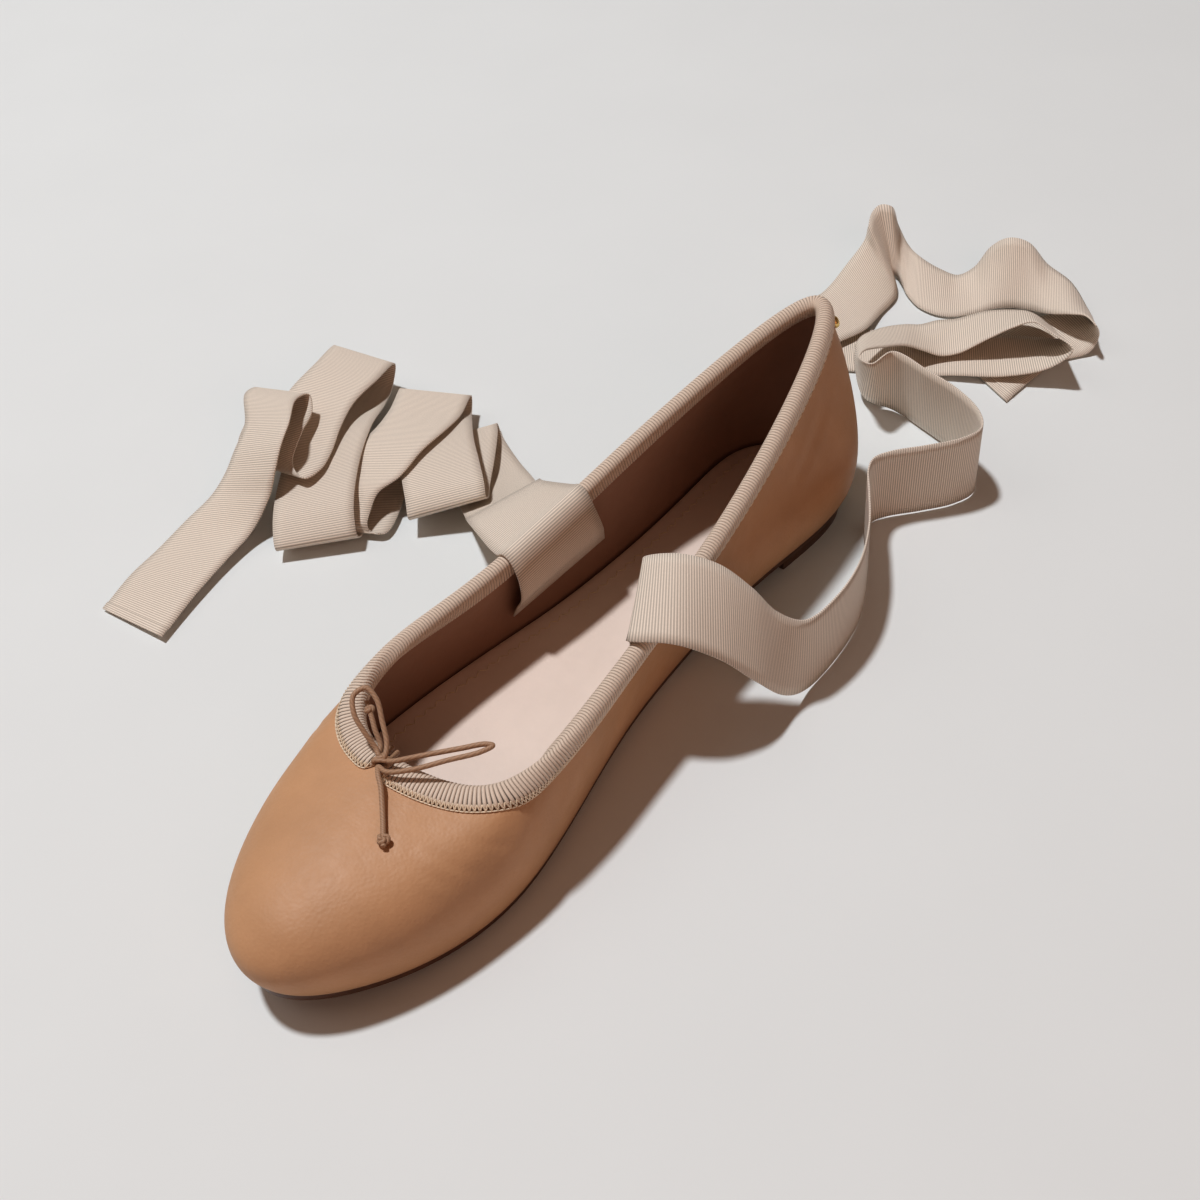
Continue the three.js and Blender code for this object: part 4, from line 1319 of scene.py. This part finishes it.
def sock_stitches():
    """Ends of the zigzag stitches that run round the insole a little inside its edge."""
    rays = np.linspace(0, TURN, LINE_STEPS)
    line = inset_outline(rays, INSOLE_INSET + SOCK_SEAM)
    run = run_along(line)
    count = int(run[-1] / ZIGZAG / 2) * 2
    here = np.interp(np.linspace(0, run[-1], count + 1), run, rays)
    swing = np.where(np.arange(count + 1) % 2, ZIGZAG_SWING, -ZIGZAG_SWING)
    flat = np.array([inset_outline(ray, INSOLE_INSET + SOCK_SEAM + s) for ray, s in zip(here, swing)])
    return [(flat[k], flat[k + 1]) for k in range(count)]


class BALLETFLAT_OT_insole(bpy.types.Operator):
    """Lay the insole and its zigzag seam"""

    bl_idname = "ballet_flat.insole"
    bl_label = "Insole"

    def execute(self, context):
        colours = context.scene.ballet_flat_materials
        sock = nappa_leather("sock_leather", colours.sock, rough=0.46, mottle=0.93, grain=0.03)

        def lower(x):
            return seat_height(x) + FIT_GAP

        bm = plate(INSOLE_INSET, lower, sock_top, (TIP, math.pi - TIP), INSOLE_ROWS, INSOLE_ACROSS)
        top = bm.copy()
        finish_piece("insole_sock", bm, sock, ("insole",), sharp=50)
        thread = sewing_thread("sock_thread", colours.thread)
        tree = BVHTree.FromBMesh(top)

        def onto(flat):
            hit = tree.ray_cast(Vector((flat[0] * MM, flat[1] * MM, DROP_FROM)), Vector((0, 0, -1)))[0]
            if hit is None:
                raise RuntimeError("a stitch of the insole lies beside it")
            return tuple(c / MM for c in hit)

        runs = [(onto(a), onto(b)) for a, b in sock_stitches()]
        top.free()
        finish_piece("sock_stitches", stitches(runs, SOCK_STITCH_RADIUS), thread)
        return {"FINISHED"}


SOLE_ROWS = 120
HEEL_ROWS = 40
SOLE_ACROSS = 16
SOLE_ROUND = 0.5
SHARP_EDGE = 50
# The sole is set farther under the leather than the solid is, so that little of its edge shows.
SOLE_TUCK = 1.6


def rounded(bm):
    """Rounds the sharp edges of a plate."""
    above = math.radians(SHARP_EDGE)
    sharp = [e for e in bm.edges if len(e.link_faces) == 2 and e.calc_face_angle() > above]
    bmesh.ops.bevel(
        bm,
        geom=sharp,
        offset=SOLE_ROUND * MM,
        offset_type="OFFSET",
        affect="EDGES",
        segments=3,
        profile=0.5,
        material=-1,
        clamp_overlap=True,
    )
    return bm


class BALLETFLAT_OT_bottom(bpy.types.Operator):
    """Cut the sole and the low heel lift"""

    bl_idname = "ballet_flat.bottom"
    bl_label = "Sole and heel"

    def execute(self, context):
        colours = context.scene.ballet_flat_materials
        leather = sole_leather("sole_leather", colours.sole)
        bm = plate(
            SOLE_INSET + SOLE_TUCK,
            lambda x: seat_height(x) - SOLE_THICKNESS,
            lambda x, v: seat_height(x),
            (TIP, math.pi - TIP),
            SOLE_ROWS,
            SOLE_ACROSS,
        )
        finish_piece("sole", rounded(bm), leather, ("outsole",), sharp=40)
        breast = math.acos(HEEL_BREAST / (OUTLINE_LENGTH / 2))
        bm = plate(
            HEEL_INSET + SOLE_TUCK,
            lambda x: np.zeros(np.shape(x)),
            lambda x, v: seat_height(x) - SOLE_THICKNESS - FIT_GAP,
            (breast, math.pi - TIP),
            HEEL_ROWS,
            SOLE_ACROSS,
        )
        finish_piece("heel_lift", rounded(bm), leather, ("heel",), sharp=40)
        return {"FINISHED"}


# The stud, a little larger than its solid so that it shows beside the binding: its radius and height, and its
# profile from the seat to the crown as shares of them
STUD_RADIUS = 1.8
STUD_HEIGHT = 1.9
STUD_STEPS = 32
STUD_PROFILE = ((0, 0.1), (0.92, 0.1), (1, 0.3), (0.96, 0.5), (0.8, 0.78), (0.5, 0.95), (0, 1))


class BALLETFLAT_OT_stud(bpy.types.Operator):
    """Set the gilt stud at the back of the collar"""

    bl_idname = "ballet_flat.stud"
    bl_label = "Heel stud"

    def execute(self, context):
        colours = context.scene.ballet_flat_materials
        angle = np.array([STUD_RAY])
        v = height_below_rim(angle, np.array([STUD_DEPTH]))
        seat = Vector(wall_point(angle, v, np.array([0.0]))[0])
        out = Vector(wall_normal(angle, v)[0])
        bm = bmesh.new()
        verts = [bm.verts.new((r * STUD_RADIUS * MM, 0, h * STUD_HEIGHT * MM)) for r, h in STUD_PROFILE]
        edges = [bm.edges.new(pair) for pair in zip(verts, verts[1:])]
        bmesh.ops.spin(
            bm,
            geom=verts + edges,
            cent=(0, 0, 0),
            axis=(0, 0, 1),
            angle=TURN,
            steps=STUD_STEPS,
            use_merge=True,
        )
        bmesh.ops.remove_doubles(bm, verts=bm.verts, dist=1e-6)
        bmesh.ops.recalc_face_normals(bm, faces=bm.faces)
        turn = out.to_track_quat("Z", "Y").to_matrix().to_4x4()
        bmesh.ops.transform(bm, matrix=Matrix.Translation(seat * MM) @ turn, verts=bm.verts)
        metal = gilt_brass("gilt_brass", colours.gilt)
        finish_piece("gilt_stud", bm, metal, ("heel_stud",), sharp=60)
        return {"FINISHED"}


class BALLETFLAT_PT_sidebar(bpy.types.Panel):
    """Steps and settings of the ballet flat"""

    bl_idname = "BALLETFLAT_PT_sidebar"
    bl_label = "Ballet Flat"
    bl_space_type = "VIEW_3D"
    bl_region_type = "UI"
    bl_category = "Ballet Flat"

    def draw(self, context):
        for operator in OPERATORS:
            self.layout.operator(operator.bl_idname)
        for setting, group in GROUPS.items():
            for name in group.__annotations__:
                self.layout.prop(getattr(context.scene, setting), name)


OPERATORS = (
    BALLETFLAT_OT_stage,
    BALLETFLAT_OT_bow,
    BALLETFLAT_OT_upper,
    BALLETFLAT_OT_ties,
    BALLETFLAT_OT_binding,
    BALLETFLAT_OT_insole,
    BALLETFLAT_OT_bottom,
    BALLETFLAT_OT_stud,
)
GROUPS = {
    "ballet_flat_materials": BalletFlatMaterials,
    "ballet_flat_sizes": BalletFlatSizes,
    "ballet_flat_stage": BalletFlatStage,
}


def register():
    for group in GROUPS.values():
        bpy.utils.register_class(group)
    for name, group in GROUPS.items():
        setattr(bpy.types.Scene, name, bpy.props.PointerProperty(type=group))
    for made in (*OPERATORS, BALLETFLAT_PT_sidebar):
        bpy.utils.register_class(made)


def unregister():
    for made in (BALLETFLAT_PT_sidebar, *reversed(OPERATORS)):
        bpy.utils.unregister_class(made)
    for name in GROUPS:
        delattr(bpy.types.Scene, name)
    for group in GROUPS.values():
        bpy.utils.unregister_class(group)


def main():
    register()
    bpy.ops.ballet_flat.stage()
    bpy.ops.ballet_flat.bow()
    bpy.ops.ballet_flat.upper()
    bpy.ops.ballet_flat.ties()
    bpy.ops.ballet_flat.binding()
    bpy.ops.ballet_flat.insole()
    bpy.ops.ballet_flat.bottom()
    bpy.ops.ballet_flat.stud()


if __name__ == "__main__":
    main()
